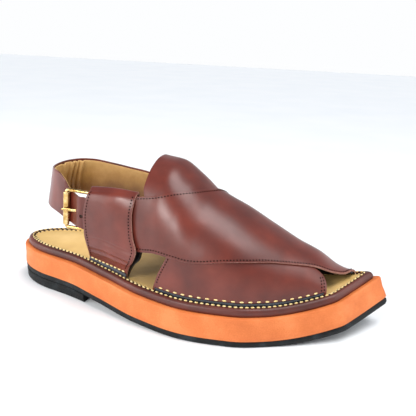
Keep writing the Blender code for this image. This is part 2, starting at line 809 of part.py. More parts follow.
def tube(name, start, end, inner, outer, sides, finish, collection):
    """A straight sleeve between two points."""
    bm = bmesh.new()
    turn = (end - start).to_track_quat("Z", "Y").to_matrix()
    rings = []
    for place, radius in ((start, outer), (end, outer), (end, inner), (start, inner)):
        ring = []
        for k in range(sides):
            angle = 2 * math.pi * k / sides
            ring.append(bm.verts.new(place + turn @ Vector((math.cos(angle), math.sin(angle), 0.0)) * radius))
        rings.append(ring)
    skin(bm, [*rings, rings[0]])
    return add_object(name, bm, finish, collection)


def make_roller(finish, collection):
    half = BUCKLE_HEIGHT / 2 - BUCKLE_CORNER
    bore = WIRE_RADIUS + JOIN_GAP
    return tube(
        "buckle_roller", buckle_place(0.0, -half), buckle_place(0.0, half), bore, ROLLER_RADIUS, 20, finish, collection
    )


def make_prong(finish, collection, cutters):
    """Straight pin with an eye round the hinge bar."""
    hinge, tip = prong_ends()
    eye_bore = WIRE_RADIUS + JOIN_GAP
    eye_radius = eye_bore + EYE_WALL
    half = Vector((0.0, 0.0, PRONG_RADIUS))
    prong = tube("buckle_prong", hinge - half, hinge + half, eye_bore, eye_radius, 20, finish, collection)
    start = hinge + (tip - hinge).normalized() * (eye_bore + EYE_WALL / 2)
    pin = rod("prong_pin", start, tip, PRONG_RADIUS, 12, finish, cutters)
    pin.hide_render = True
    pin.display_type = "WIRE"
    joint = prong.modifiers.new("pin", "BOOLEAN")
    joint.operation = "UNION"
    joint.object = pin
    return prong


clear_scene()
ORIGIN = origin_of_sole()
parts = make_collection("peshawari_chappal")
cutters = make_collection("cutters")
black_rubber = material("black_rubber", (0.020, 0.026, 0.030), 0.55)
orange_foam = material("orange_foam", (0.85, 0.27, 0.07), 0.6)
brown_leather = material("brown_leather", (0.13, 0.030, 0.020), 0.38)
tan_leather = material("tan_leather", (0.62, 0.42, 0.17), 0.55)
brass = material("brass", (0.80, 0.58, 0.25), 0.25, 1.0)

make_heel(black_rubber, parts)
make_outsole(black_rubber, parts)
make_midsole(orange_foam, parts)
make_welt(brown_leather, parts)
make_insole(tan_leather, parts)
make_upper(brown_leather, parts, cutters)
make_keeper("keeper_lateral", LATERAL_KEEPER, brown_leather, parts)
make_keeper("keeper_medial", MEDIAL_KEEPER, brown_leather, parts)
make_heel_strap(brown_leather, parts, cutters)
make_buckle_frame(brass, parts)
make_roller(brass, parts)
make_prong(brass, parts, cutters)
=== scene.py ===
"""Looks of a peshawari chappal for the right foot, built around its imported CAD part.

Shoe places are u, the distance from the back of the heel, and y, towards the inner side.
Lengths are in metres.
"""

import math

import bpy
from mathutils import Matrix, Vector, noise


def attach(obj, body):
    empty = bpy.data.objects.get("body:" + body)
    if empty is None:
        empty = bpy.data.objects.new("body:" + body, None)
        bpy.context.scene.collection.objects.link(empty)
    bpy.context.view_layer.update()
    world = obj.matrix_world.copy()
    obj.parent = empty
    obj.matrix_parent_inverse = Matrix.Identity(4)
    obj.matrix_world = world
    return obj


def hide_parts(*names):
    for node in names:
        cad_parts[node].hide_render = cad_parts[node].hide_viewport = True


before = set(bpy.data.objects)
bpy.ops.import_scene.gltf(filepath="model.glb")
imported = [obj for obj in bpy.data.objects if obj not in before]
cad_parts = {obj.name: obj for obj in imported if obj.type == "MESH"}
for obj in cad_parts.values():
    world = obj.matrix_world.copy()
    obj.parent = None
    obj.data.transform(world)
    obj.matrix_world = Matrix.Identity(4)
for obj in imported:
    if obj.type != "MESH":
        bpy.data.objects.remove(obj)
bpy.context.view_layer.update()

# Midsole: a thick wedge of orange closed-cell foam, cut from sheet and ground smooth along its vertical side.
# Its outline and its bend, with a lifted heel and toe, carry every other layer of the sole.
SOLE_LENGTH = 0.2935
BALL_WIDTH = 0.100
HEEL_ROUND = 0.040
TOE_CORNER_EASE = 0.004
HEEL_LIFT = 0.0075
TOE_SPRING = 0.0175
TOE_SPRING_START = 0.220
OUTSOLE_THICKNESS = 0.0045
MIDSOLE_THICKNESS = 0.0165
ORIGIN = Vector((0.14609, -0.00793, 0.0))
SOLE_EDGE = (
    # station, lateral, medial
    (0.00, 0.255, 0.255),
    (0.10, 0.285, 0.285),
    (0.20, 0.335, 0.330),
    (0.32, 0.435, 0.355),
    (0.44, 0.530, 0.380),
    (0.56, 0.578, 0.405),
    (0.68, 0.530, 0.420),
    (0.78, 0.390, 0.412),
    (0.86, 0.250, 0.395),
    (0.93, 0.110, 0.360),
    (1.00, -0.020, 0.283),
)
HEEL_RISE = ((0.00, 1.05), (0.20, 1.00), (0.31, 0.70), (0.44, 0.20), (0.54, 0.03), (0.60, 0.00))
LATERAL_TOE = Vector((0.914 * SOLE_LENGTH, -0.142 * BALL_WIDTH))
MEDIAL_TOE = Vector((1.000 * SOLE_LENGTH, 0.283 * BALL_WIDTH))


def curve_of(rows, column=1):
    """A function that reads one column of a table on a curve that never overshoots its rows."""
    xs = [row[0] for row in rows]
    ys = [row[column] for row in rows]
    steps = [(ys[i + 1] - ys[i]) / (xs[i + 1] - xs[i]) for i in range(len(xs) - 1)]
    slopes = [steps[0]]
    for before, after in zip(steps, steps[1:]):
        slopes.append(0.0 if before * after <= 0 else 2 * before * after / (before + after))
    slopes.append(steps[-1])

    def read(x):
        if x <= xs[0]:
            return ys[0]
        if x >= xs[-1]:
            return ys[-1]
        i = max(k for k in range(len(xs) - 1) if xs[k] <= x)
        width = xs[i + 1] - xs[i]
        t = (x - xs[i]) / width
        return (
            ys[i] * (1 + 2 * t) * (1 - t) ** 2
            + slopes[i] * width * t * (1 - t) ** 2
            + ys[i + 1] * t * t * (3 - 2 * t)
            + slopes[i + 1] * width * t * t * (t - 1)
        )

    return read


lateral_edge, medial_edge = curve_of(SOLE_EDGE, 1), curve_of(SOLE_EDGE, 2)
heel_rise = curve_of(HEEL_RISE)


def edge_y(u, side):
    half = BALL_WIDTH * (lateral_edge if side < 0 else medial_edge)(u / SOLE_LENGTH)
    if u < HEEL_ROUND:
        half *= math.sqrt(max(0.0, 1 - (1 - u / HEEL_ROUND) ** 2))
    return side * half


def sole_rise(u):
    spring = max(0.0, (u - TOE_SPRING_START) / (SOLE_LENGTH - TOE_SPRING_START))
    return OUTSOLE_THICKNESS + HEEL_LIFT * heel_rise(u / SOLE_LENGTH) + TOE_SPRING * spring**1.8


def on_sole(u, y, height):
    """A point of the bent sole, height above the outsole's top, square to its curve, in the part's frame."""
    slope = (sole_rise(u + 0.0005) - sole_rise(u - 0.0005)) / 0.001
    run = math.sqrt(1 + slope * slope)
    return Vector((u - slope / run * height, y, sole_rise(u) + height / run)) - ORIGIN


def side_line(side, setback, count):
    """Points of one side of the outline from the heel's back to the toe's middle, set back from the edge."""
    corner = LATERAL_TOE if side < 0 else MEDIAL_TOE
    path = [Vector((corner.x * (i / 240) ** 2, edge_y(corner.x * (i / 240) ** 2, side))) for i in range(240)]
    path.append(corner)
    front = (MEDIAL_TOE - LATERAL_TOE).normalized()
    inward = Vector((-front.y, front.x))
    shifted = [Vector((setback, 0.0))]
    for before, point, after in zip(path, path[1:], [*path[2:], path[-1]]):
        along = (after - before).normalized()
        shifted.append(point + Vector((along.y * side, -along.x * side)) * setback)
    on_front = LATERAL_TOE + inward * setback
    kept = [p for p in shifted if (p - on_front).dot(inward) > 0]
    along = (kept[-1] - kept[-3]).normalized()
    cut = kept[-1] + along * ((kept[-1] - on_front).dot(inward) / -along.dot(inward))
    middle = (LATERAL_TOE + MEDIAL_TOE) / 2 + inward * setback
    back = (kept[-3] - cut).normalized()
    ahead = (middle - cut).normalized()
    kept = [p for p in kept if (p - cut).dot(back) > TOE_CORNER_EASE]
    ease = []
    for i in range(7):
        t = i / 6
        ease.append(
            (cut + back * TOE_CORNER_EASE) * (1 - t) ** 2
            + cut * 2 * t * (1 - t)
            + (cut + ahead * TOE_CORNER_EASE) * t * t
        )
    lengths = [0.0]
    kept.append(ease[0])
    for a, b in zip(kept, kept[1:]):
        lengths.append(lengths[-1] + (b - a).length)
    points = []
    long = count - 12
    for i in range(long):
        target = (i / long) ** 1.3 * lengths[-1]
        k = max(j for j in range(len(kept) - 1) if lengths[j] <= target + 1e-12)
        points.append(kept[k].lerp(kept[k + 1], (target - lengths[k]) / (lengths[k + 1] - lengths[k])))
    points += ease
    points += [ease[-1].lerp(middle, (i + 1) / 5) for i in range(5)]
    return points


def laid_grid(name, rows, columns, place):
    """A flat grid whose points are then laid where place(along, across) says."""
    bpy.ops.object.select_all(action="DESELECT")
    bpy.ops.mesh.primitive_grid_add(x_subdivisions=rows, y_subdivisions=columns, size=1)
    piece = bpy.context.active_object
    piece.name = piece.data.name = name
    for vertex in piece.data.vertices:
        vertex.co = place(vertex.co.x + 0.5, vertex.co.y + 0.5)
    return piece


def close_up(piece, fill=False):
    """Merges a grid's meeting edges, closes an open end and turns its faces outwards."""
    bpy.ops.object.select_all(action="DESELECT")
    piece.select_set(True)
    bpy.context.view_layer.objects.active = piece
    bpy.ops.object.mode_set(mode="EDIT")
    bpy.ops.mesh.select_all(action="SELECT")
    bpy.ops.mesh.remove_doubles(threshold=0.00002)
    if fill:
        bpy.ops.mesh.select_all(action="DESELECT")
        bpy.ops.mesh.select_mode(type="EDGE")
        bpy.ops.mesh.select_non_manifold()
        bpy.ops.mesh.edge_face_add()
        bpy.ops.mesh.select_mode(type="VERT")
    bpy.ops.mesh.select_all(action="SELECT")
    bpy.ops.mesh.normals_make_consistent(inside=False)
    bpy.ops.object.mode_set(mode="OBJECT")


def apply_modifier(piece, kind, **settings):
    bpy.context.view_layer.objects.active = piece
    added = piece.modifiers.new(kind.lower(), kind)
    for key, value in settings.items():
        setattr(added, key, value)
    bpy.ops.object.modifier_apply(modifier=added.name)


def dress(piece, node_name, slot, *finishes, angle=35):
    """Gives a piece its finishes and its place among the part's nodes."""
    for finish in finishes:
        piece.data.materials.append(finish)
    bpy.ops.object.select_all(action="DESELECT")
    piece.select_set(True)
    bpy.context.view_layer.objects.active = piece
    bpy.ops.object.shade_smooth_by_angle(angle=math.radians(angle))
    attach(piece, "root")
    if node_name:
        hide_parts(node_name)


def sole_layer(name, profile, stations=110, columns=14):
    """A layer of the sole. The profile's rows, from below up, give a setback from the edge and a height."""
    sides = [[side_line(side, setback, stations) for setback, _ in profile] for side in (-1, 1)]
    last = len(profile) - 1
    loop = [(0, k, 0.0) for k in range(last + 1)]
    loop += [(0, last, c / columns) for c in range(1, columns)]
    loop += [(1, k, 0.0) for k in range(last, -1, -1)]
    loop += [(1, 0, c / columns) for c in range(1, columns)]
    loop.append(loop[0])

    def place(along, across):
        station = round(along * (stations - 1))
        side, k, share = loop[round(across * (len(loop) - 1))]
        p = sides[side][k][station].lerp(sides[1 - side][k][station], share)
        return on_sole(p.x, p.y, profile[k][1])

    piece = laid_grid(name, stations - 1, len(loop) - 1, place)
    close_up(piece)
    return piece


def srgb(code):
    """Turns a hex colour into the linear values that a shader takes."""
    parts = [int(code[i : i + 2], 16) / 255 for i in (1, 3, 5)]
    return (*[p / 12.92 if p <= 0.04045 else ((p + 0.055) / 1.055) ** 2.4 for p in parts], 1.0)


def add_node(tree, kind, inputs, stops=(), **settings):
    """Adds a node. An input is a value or another node's socket, a stop is a place and colour of a ramp."""
    made = tree.nodes.new(kind)
    for key, value in settings.items():
        setattr(made, key, value)
    for key, value in inputs.items():
        if isinstance(value, bpy.types.NodeSocket):
            tree.links.new(value, made.inputs[key])
        else:
            made.inputs[key].default_value = value
    for k, (position, code) in enumerate(stops):
        stop = made.color_ramp.elements[k] if k < 2 else made.color_ramp.elements.new(position)
        stop.position, stop.color = position, srgb(code)
    return made


def new_material(name, **shader_values):
    """An empty material with its shader, and the place on the piece that its patterns read."""
    made = bpy.data.materials.new(name)
    made.use_nodes = True
    tree = made.node_tree
    shader = tree.nodes["Principled BSDF"]
    for key, value in shader_values.items():
        shader.inputs[key.replace("_", " ")].default_value = value
    place = tree.nodes.new("ShaderNodeTexCoord").outputs["Object"]
    return made, tree, shader, place


# EVA foam, ground and wiped with colour: matt, with a faint cloudy tint and cells drawn at 0.7 mm,
# coarser than the real 0.2 mm
foam, tree, shader, place = new_material("ground_eva_foam", Roughness=0.62, IOR=1.45)
cloud = add_node(tree, "ShaderNodeTexNoise", {"Vector": place, "Scale": 55.0, "Detail": 4.0})
cells = add_node(tree, "ShaderNodeTexNoise", {"Vector": place, "Scale": 1500.0, "Detail": 2.0})
mottle = add_node(
    tree, "ShaderNodeMix", {"Factor": 0.35, "A": cloud.outputs["Fac"], "B": cells.outputs["Fac"]}
)
tint = add_node(
    tree,
    "ShaderNodeValToRGB",
    {"Fac": mottle.outputs["Result"]},
    ((0.36, "#CB6A31"), (0.5, "#D7753A"), (0.64, "#E28349")),
)
tree.links.new(tint.outputs["Color"], shader.inputs["Base Color"])
bump = add_node(tree, "ShaderNodeBump", {"Height": cells.outputs["Fac"], "Strength": 0.25, "Distance": 0.0003})
tree.links.new(bump.outputs["Normal"], shader.inputs["Normal"])

midsole = sole_layer(
    "midsole_foam",
    (
        (0.0011, 0.0),
        (0.0004, 0.0002),
        (0.0, 0.0009),
        (0.0001, 0.0050),
        (0.0003, 0.0085),
        (0.0001, 0.0120),
        (0.0, MIDSOLE_THICKNESS - 0.0012),
        (0.0003, MIDSOLE_THICKNESS - 0.0004),
        (0.0009, MIDSOLE_THICKNESS),
    ),
)
dress(midsole, "midsole", "orange_foam", foam)

# Outsole: a thin sheet of black rubber glued under the foam and trimmed flush, with a fine ground edge.
# The heel block is the same rubber, thicker, glued on behind with a straight breast and flat on the floor.
HEEL_BLOCK_LENGTH = 0.0765

# Moulded rubber, ground at its edge: near black and matt, with a cloudy bloom and a grit of about 1 mm,
# coarser than the real one so that it shows
rubber, tree, shader, place = new_material(
    "moulded_black_rubber", Roughness=0.6, IOR=1.5, Specular_IOR_Level=0.3
)
grit = add_node(tree, "ShaderNodeTexNoise", {"Vector": place, "Scale": 900.0, "Detail": 3.0})
dust = add_node(tree, "ShaderNodeTexNoise", {"Vector": place, "Scale": 130.0, "Detail": 4.0})
tint = add_node(
    tree,
    "ShaderNodeValToRGB",
    {"Fac": dust.outputs["Fac"]},
    ((0.38, "#050708"), (0.52, "#0C1113"), (0.66, "#1E262A")),
)
tree.links.new(tint.outputs["Color"], shader.inputs["Base Color"])
shine = add_node(
    tree,
    "ShaderNodeMapRange",
    {"Value": grit.outputs["Fac"], "From Min": 0.3, "From Max": 0.7, "To Min": 0.5, "To Max": 0.72},
)
tree.links.new(shine.outputs["Result"], shader.inputs["Roughness"])
bump = add_node(tree, "ShaderNodeBump", {"Height": grit.outputs["Fac"], "Strength": 0.35, "Distance": 0.0003})
tree.links.new(bump.outputs["Normal"], shader.inputs["Normal"])

outsole = sole_layer(
    "outsole_rubber",
    (
        (0.0017, -OUTSOLE_THICKNESS),
        (0.0010, -OUTSOLE_THICKNESS + 0.0003),
        (0.0007, -OUTSOLE_THICKNESS + 0.0010),
        (0.0004, -0.0024),
        (0.0004, -0.0010),
        (0.0009, -0.0002),
    ),
)
dress(outsole, "outsole", "black_rubber", rubber)

HEEL_PROFILE = (
    # setback, share of the height
    (0.0026, 0.000),
    (0.0014, 0.040),
    (0.0009, 0.150),
    (0.0007, 0.550),
    (0.0005, 0.900),
    (0.0012, 1.000),
)
heel_stations = 44
heel_loop = [(-1, k, 0.0) for k in range(6)] + [(-1, 5, c / 8) for c in range(1, 8)]
heel_loop += [(1, k, 0.0) for k in range(5, -1, -1)] + [(1, 0, c / 8) for c in range(1, 8)]
heel_loop.append(heel_loop[0])


def heel_place(along, across):
    side, k, share = heel_loop[round(across * (len(heel_loop) - 1))]
    setback, level = HEEL_PROFILE[k]
    u = setback + (HEEL_BLOCK_LENGTH - setback) * along**1.7
    half = abs(edge_y(u, side)) - setback
    if u < HEEL_ROUND:
        full = BALL_WIDTH * lateral_edge(u / SOLE_LENGTH) - setback
        half = full * math.sqrt(max(0.0, 1 - ((HEEL_ROUND - u) / (HEEL_ROUND - setback)) ** 2))
    top = sole_rise(u) - OUTSOLE_THICKNESS - 0.0003
    return Vector((u, side * half * (1 - 2 * share), top * level)) - ORIGIN


heel = laid_grid("heel_block", heel_stations, len(heel_loop) - 1, heel_place)
close_up(heel, fill=True)
dress(heel, "heel", "black_rubber", rubber)

# Insole: a footbed of vegetable-tanned leather over a stiff board, glued on the foam inside the welt.
# It is cut from one sheet, and its upper edge is rounded.
WELT_SETBACK = 0.0030
WELT_WIDTH = 0.0042
INSOLE_THICKNESS = 0.0048

# Vegetable-tanned leather, rolled smooth: tan and matt, with pores drawn at 0.9 mm and a faint cloud
tan, tree, shader, place = new_material("vegetable_tanned_leather", Roughness=0.5, IOR=1.48)
patches = add_node(
    tree, "ShaderNodeTexNoise", {"Vector": place, "Scale": 34.0, "Detail": 5.0, "Roughness": 0.6}
)
pores = add_node(tree, "ShaderNodeTexVoronoi", {"Vector": place, "Scale": 1100.0})
tint = add_node(
    tree,
    "ShaderNodeValToRGB",
    {"Fac": patches.outputs["Fac"]},
    ((0.3, "#D6AB64"), (0.5, "#E1B972"), (0.68, "#EAC483")),
)
tree.links.new(tint.outputs["Color"], shader.inputs["Base Color"])
shine = add_node(
    tree,
    "ShaderNodeMapRange",
    {"Value": patches.outputs["Fac"], "From Min": 0.3, "From Max": 0.7, "To Min": 0.42, "To Max": 0.58},
)
tree.links.new(shine.outputs["Result"], shader.inputs["Roughness"])
bump = add_node(
    tree, "ShaderNodeBump", {"Height": pores.outputs["Distance"], "Strength": 0.18, "Distance": 0.0002}
)
tree.links.new(bump.outputs["Normal"], shader.inputs["Normal"])

insole_setback = WELT_SETBACK + WELT_WIDTH + 0.0003
insole = sole_layer(
    "insole_leather",
    (
        (insole_setback, MIDSOLE_THICKNESS + 0.0003),
        (insole_setback, MIDSOLE_THICKNESS + INSOLE_THICKNESS - 0.0012),
        (insole_setback + 0.0003, MIDSOLE_THICKNESS + INSOLE_THICKNESS - 0.0004),
        (insole_setback + 0.0009, MIDSOLE_THICKNESS + INSOLE_THICKNESS),
    ),
)
dress(insole, "insole", "tan_leather", tan)

# Welt: a strip of dark brown leather folded over and sewn down round the footbed, so its outer side is rolled.
# It runs right round the toe's two corners.
WELT_HEIGHT = 0.0053


def brown_leather(name, stops, grain_mm, gloss):
    """Smooth chrome-tanned cowhide: fine grain, cloudy dye, a waxed surface with a soft gloss."""
    made, tree, shader, place = new_material(
        name, Roughness=gloss, IOR=1.5, Coat_Weight=0.1, Coat_Roughness=0.3
    )
    dye = add_node(
        tree, "ShaderNodeTexNoise", {"Vector": place, "Scale": 42.0, "Detail": 3.0, "Roughness": 0.55}
    )
    grain = add_node(
        tree, "ShaderNodeTexVoronoi", {"Vector": place, "Scale": 1000.0 / grain_mm}, feature="SMOOTH_F1"
    )
    tint = add_node(tree, "ShaderNodeValToRGB", {"Fac": dye.outputs["Fac"]}, stops)
    tree.links.new(tint.outputs["Color"], shader.inputs["Base Color"])
    shine = add_node(
        tree,
        "ShaderNodeMapRange",
        {
            "Value": dye.outputs["Fac"],
            "From Min": 0.3,
            "From Max": 0.7,
            "To Min": gloss + 0.06,
            "To Max": gloss - 0.04,
        },
    )
    tree.links.new(shine.outputs["Result"], shader.inputs["Roughness"])
    bump = add_node(
        tree, "ShaderNodeBump", {"Height": grain.outputs["Distance"], "Strength": 0.12, "Distance": 0.0001}
    )
    tree.links.new(bump.outputs["Normal"], shader.inputs["Normal"])
    return made


# The grain is drawn at 1.2 mm, coarser than the real 0.5 mm, so that it shows
welt_leather = brown_leather(
    "waxed_welt_cowhide", ((0.3, "#44180F"), (0.5, "#521E14"), (0.7, "#63291D")), 1.2, 0.46
)
WELT_SECTION = (
    # setback, height above the foam
    (WELT_SETBACK + 0.10 * WELT_WIDTH, 0.0003),
    (WELT_SETBACK + 0.01 * WELT_WIDTH, 0.0003 + 0.18 * WELT_HEIGHT),
    (WELT_SETBACK, 0.0003 + 0.38 * WELT_HEIGHT),
    (WELT_SETBACK + 0.05 * WELT_WIDTH, 0.0003 + 0.63 * WELT_HEIGHT),
    (WELT_SETBACK + 0.17 * WELT_WIDTH, 0.0003 + 0.83 * WELT_HEIGHT),
    (WELT_SETBACK + 0.36 * WELT_WIDTH, 0.0003 + 0.96 * WELT_HEIGHT),
    (WELT_SETBACK + 0.58 * WELT_WIDTH, 0.0003 + 1.00 * WELT_HEIGHT),
    (WELT_SETBACK + 0.85 * WELT_WIDTH, 0.0003 + 0.98 * WELT_HEIGHT),
    (WELT_SETBACK + 1.00 * WELT_WIDTH, 0.0003 + 0.86 * WELT_HEIGHT),
    (WELT_SETBACK + 1.00 * WELT_WIDTH, 0.0003),
)
welt_rings = []
for setback, _ in WELT_SECTION:
    lateral, medial = side_line(-1, setback, 150), side_line(1, setback, 150)
    welt_rings.append(lateral + medial[-2:0:-1])


def welt_place(along, across):
    k = round(across * len(WELT_SECTION)) % len(WELT_SECTION)
    ring = welt_rings[k]
    p = ring[round(along * len(ring)) % len(ring)]
    ripple = 0.00005 * noise.noise(Vector((p.x, p.y, 0.0)) * 140)
    return on_sole(p.x, p.y, MIDSOLE_THICKNESS + WELT_SECTION[k][1] + ripple * (k in range(3, 9)))


welt = laid_grid("welt_leather", len(welt_rings[0]), len(WELT_SECTION), welt_place)
close_up(welt)
dress(welt, "welt", "brown_leather", welt_leather)

# Welt stitching: waxed cream cotton, two rows round the footbed's rim, each stitch pulled into its hole.
# Each row of stitches is one piece, and so is its row of holes: small dents at the stitch ends, painted dark
# as the shade inside each hole.

# Waxed cotton thread: pale gold with a soft shine
thread, tree, shader, place = new_material("waxed_cotton_thread", Roughness=0.55, IOR=1.5)
twist = add_node(tree, "ShaderNodeTexNoise", {"Vector": place, "Scale": 1800.0, "Detail": 2.0})
tint = add_node(
    tree,
    "ShaderNodeValToRGB",
    {"Fac": twist.outputs["Fac"]},
    ((0.35, "#D2AC5C"), (0.5, "#EED08A"), (0.65, "#FBEBBB")),
)
tree.links.new(tint.outputs["Color"], shader.inputs["Base Color"])
# The shade in a hole that a needle or a punch has left
hole, tree, shader, place = new_material("needle_hole_shade", Roughness=0.8)
soot = add_node(tree, "ShaderNodeTexNoise", {"Vector": place, "Scale": 900.0})
tint = add_node(
    tree, "ShaderNodeValToRGB", {"Fac": soot.outputs["Fac"]}, ((0.4, "#20120A"), (0.6, "#35200F"))
)
tree.links.new(tint.outputs["Color"], shader.inputs["Base Color"])

bpy.ops.object.select_all(action="DESELECT")
bpy.ops.mesh.primitive_uv_sphere_add(segments=8, ring_count=6, radius=1.0)
stitch = bpy.context.active_object
stitch_points = [vertex.co.copy() for vertex in stitch.data.vertices]
stitch_faces = [tuple(face.vertices) for face in stitch.data.polygons]
bpy.data.objects.remove(stitch)


def sew(name, place, start, end, pitch, size, finish, slot, shift=0.0):
    """A row of stitches along place(x, lift), of a length, width and height each."""
    steps = 500
    xs = [start + (end - start) * i / steps for i in range(steps + 1)]
    line = [place(x, 0.0) for x in xs]
    run = 0.0
    due = pitch * (0.5 + shift)
    points, faces = [], []
    for i in range(steps):
        gap = (line[i + 1] - line[i]).length
        while run + gap >= due:
            x = xs[i] + (xs[i + 1] - xs[i]) * (due - run) / gap
            centre = place(x, 0.0)
            along = (line[i + 1] - line[i]).normalized()
            up = (place(x, 0.001) - centre).normalized()
            across = up.cross(along).normalized()
            turn = Matrix((along * size[0] / 2, across * size[1] / 2, up * size[2] / 2)).transposed()
            first = len(points)
            points += [centre + turn @ p for p in stitch_points]
            faces += [tuple(k + first for k in face) for face in stitch_faces]
            due += pitch
        run += gap
    mesh = bpy.data.meshes.new(name)
    mesh.from_pydata(points, [], faces)
    row = bpy.data.objects.new(name, mesh)
    bpy.context.scene.collection.objects.link(row)
    dress(row, None, slot, finish, angle=80)


def rim_place(setback, rise):
    """The line on the footbed at one setback from the sole's edge, right round."""
    lateral, medial = side_line(-1, setback, 200), side_line(1, setback, 200)
    ring = lateral + medial[-2::-1]

    def place(x, lift):
        k = min(int(x * (len(ring) - 1)), len(ring) - 2)
        p = ring[k].lerp(ring[k + 1], x * (len(ring) - 1) - k)
        return on_sole(p.x, p.y, MIDSOLE_THICKNESS + INSOLE_THICKNESS + 0.0001 + rise + lift)

    return place


RIM_PITCH = 0.0038
RIM_STITCH = (0.0027, 0.0012, 0.0011)
RIM_HOLE = (0.0016, 0.0014, 0.0006)
for label, setback, rise, shift in (("outer", 0.0067, 0.0009, 0.0), ("inner", 0.0089, 0.0, 0.5)):
    rim = rim_place(setback, rise)
    sew(f"rim_holes_{label}", rim, 0.0, 1.0, RIM_PITCH, RIM_HOLE, hole, "tan_leather", shift + 0.5)
    sew(f"rim_stitches_{label}", rim, 0.0, 1.0, RIM_PITCH, RIM_STITCH, thread, "tan_leather", shift)

# Upper: an under strap whose top stands up as the tongue, and an over strap that crosses it.
# Both are cut from waxed brown cowhide with a black lining and lie on the last, a foot's form.
# Their cut edges are left raw.
UPPER_SETBACK = 0.0100
INSTEP_HEIGHT = 0.0810
LAST = (
    # station, side, height, squareness, swell
    (0.24, 0.00, 1.100, 0.80, 0.050),
    (0.36, 0.00, 1.070, 0.80, 0.040),
    (0.42, 0.01, 1.028, 0.80, 0.010),
    (0.467, 0.02, 1.015, 0.80, 0.000),
    (0.520, 0.02, 0.902, 0.82, 0.000),
    (0.570, 0.02, 0.756, 0.84, 0.000),
    (0.640, 0.03, 0.635, 0.84, 0.000),
    (0.690, 0.05, 0.530, 0.84, 0.000),
    (0.767, 0.08, 0.375, 0.84, 0.000),
    (0.820, 0.11, 0.265, 0.84, 0.000),
    (0.870, 0.14, 0.105, 0.84, 0.000),
    (0.900, 0.17, 0.040, 0.84, 0.000),
    (0.930, 0.19, 0.016, 0.84, 0.000),
    (1.000, 0.20, 0.020, 0.84, 0.000),
)
UNDER_STRAP = (
    # along, front station, front turn, rear station, rear turn
    (0.00, 0.860, 0.000, 0.475, 0.000),
    (0.08, 0.860, 0.070, 0.489, 0.035),
    (0.15, 0.857, 0.180, 0.504, 0.074),
    (0.22, 0.845, 0.290, 0.516, 0.120),
    (0.32, 0.800, 0.360, 0.450, 0.200),
    (0.42, 0.737, 0.450, 0.424, 0.280),
    (0.52, 0.670, 0.550, 0.424, 0.400),
    (0.62, 0.610, 0.660, 0.421, 0.520),
    (0.72, 0.600, 0.700, 0.448, 0.598),
    (0.82, 0.596, 0.738, 0.508, 0.662),
    (0.89, 0.590, 0.778, 0.543, 0.740),
    (0.94, 0.573, 0.878, 0.540, 0.778),
    (0.97, 0.545, 0.924, 0.518, 0.788),
    (1.00, 0.490, 0.930, 0.490, 0.790),
)
OVER_STRAP = (
    # along, front station, front turn, rear station, rear turn
    (0.00, 0.365, 0.064, 0.365, 0.210),
    (0.10, 0.437, 0.072, 0.420, 0.235),
    (0.22, 0.514, 0.094, 0.467, 0.258),
    (0.34, 0.594, 0.130, 0.501, 0.311),
    (0.46, 0.650, 0.168, 0.530, 0.378),
    (0.56, 0.698, 0.212, 0.548, 0.449),
    (0.65, 0.738, 0.252, 0.560, 0.510),
    (0.72, 0.777, 0.286, 0.568, 0.575),
    (0.78, 0.820, 0.322, 0.575, 0.640),
    (0.84, 0.862, 0.376, 0.585, 0.720),
    (0.90, 0.897, 0.460, 0.600, 0.810),
    (0.95, 0.910, 0.640, 0.610, 0.900),
    (1.00, 0.914, 1.000, 0.620, 1.000),
)
last_columns = [curve_of(LAST, k) for k in (1, 2, 3, 4)]
footbed_height = MIDSOLE_THICKNESS + INSOLE_THICKNESS
bed = [on_sole(i / 1000, 0.0, footbed_height) + ORIGIN for i in range(-10, 312)]
bed_rows = [(p.x, p.z + 0.0003, i / 1000 - 0.010) for i, p in enumerate(bed)]
bed_level, bed_station = curve_of(bed_rows, 1), curve_of(bed_rows, 2)


def last_point(u, turn):
    """A point of the last: turn runs from 0 at the lateral base over the ridge to 1 at the medial base."""
    station, level = bed_station(u), bed_level(u)
    side, height, square, swell = (read(u / SOLE_LENGTH) for read in last_columns)
    angle = math.pi * turn
    across, rise = math.cos(angle), math.sin(angle)
    direction = -1 if across > 0 else 1
    slope = (edge_y(station + 0.001, direction) - edge_y(station - 0.001, direction)) / 0.002
    base = edge_y(station, direction) - direction * UPPER_SETBACK * math.sqrt(1 + slope * slope)
    ridge = side * BALL_WIDTH
    y = ridge + (base - ridge) * abs(across) ** square
    y += direction * swell * BALL_WIDTH * abs(math.sin(2 * angle))
    return Vector((u, y, level + INSTEP_HEIGHT * height * max(rise, 0.0) ** square)) - ORIGIN


def on_last(u, turn, lift):
    """A point over the last, lift outwards from its surface."""
    low, high = max(turn - 0.002, 0.001), min(turn + 0.002, 0.999)
    along = last_point(u + 0.0002, turn) - last_point(u - 0.0002, turn)
    across = last_point(u, high) - last_point(u, low)
    return last_point(u, turn) - across.cross(along).normalized() * lift


def strap_place(table, lift):
    """Where a strap lies: a share along it, a share from its front to its rear edge, and a further lift."""
    reads = [curve_of(table, k) for k in (1, 2, 3, 4)]

    def place(along, across, more=0.0):
        front, front_turn, rear, rear_turn = (read(along) for read in reads)
        u = (front + (rear - front) * across) * SOLE_LENGTH
        turn = front_turn + (rear_turn - front_turn) * across
        spot = last_point(u, turn)
        sag = 0.00014 * noise.noise(spot * 30) + 0.00004 * noise.noise(spot * 120)
        return on_last(u, turn, lift + sag + more)

    return place


def ease_edges(piece):
    """Rounds a cut piece's sharp edges a little."""
    steep = math.radians(50)
    apply_modifier(piece, "BEVEL", width=0.0004, segments=2, limit_method="ANGLE", angle_limit=steep)


def cut_leather(piece, thickness, *finishes):
    """Gives a laid surface its thickness inwards: a dyed face, a lining behind and a raw cut edge."""
    for finish in finishes:
        piece.data.materials.append(finish)
    apply_modifier(
        piece, "SOLIDIFY", thickness=thickness, offset=-1.0, material_offset=1, material_offset_rim=2
    )
    ease_edges(piece)


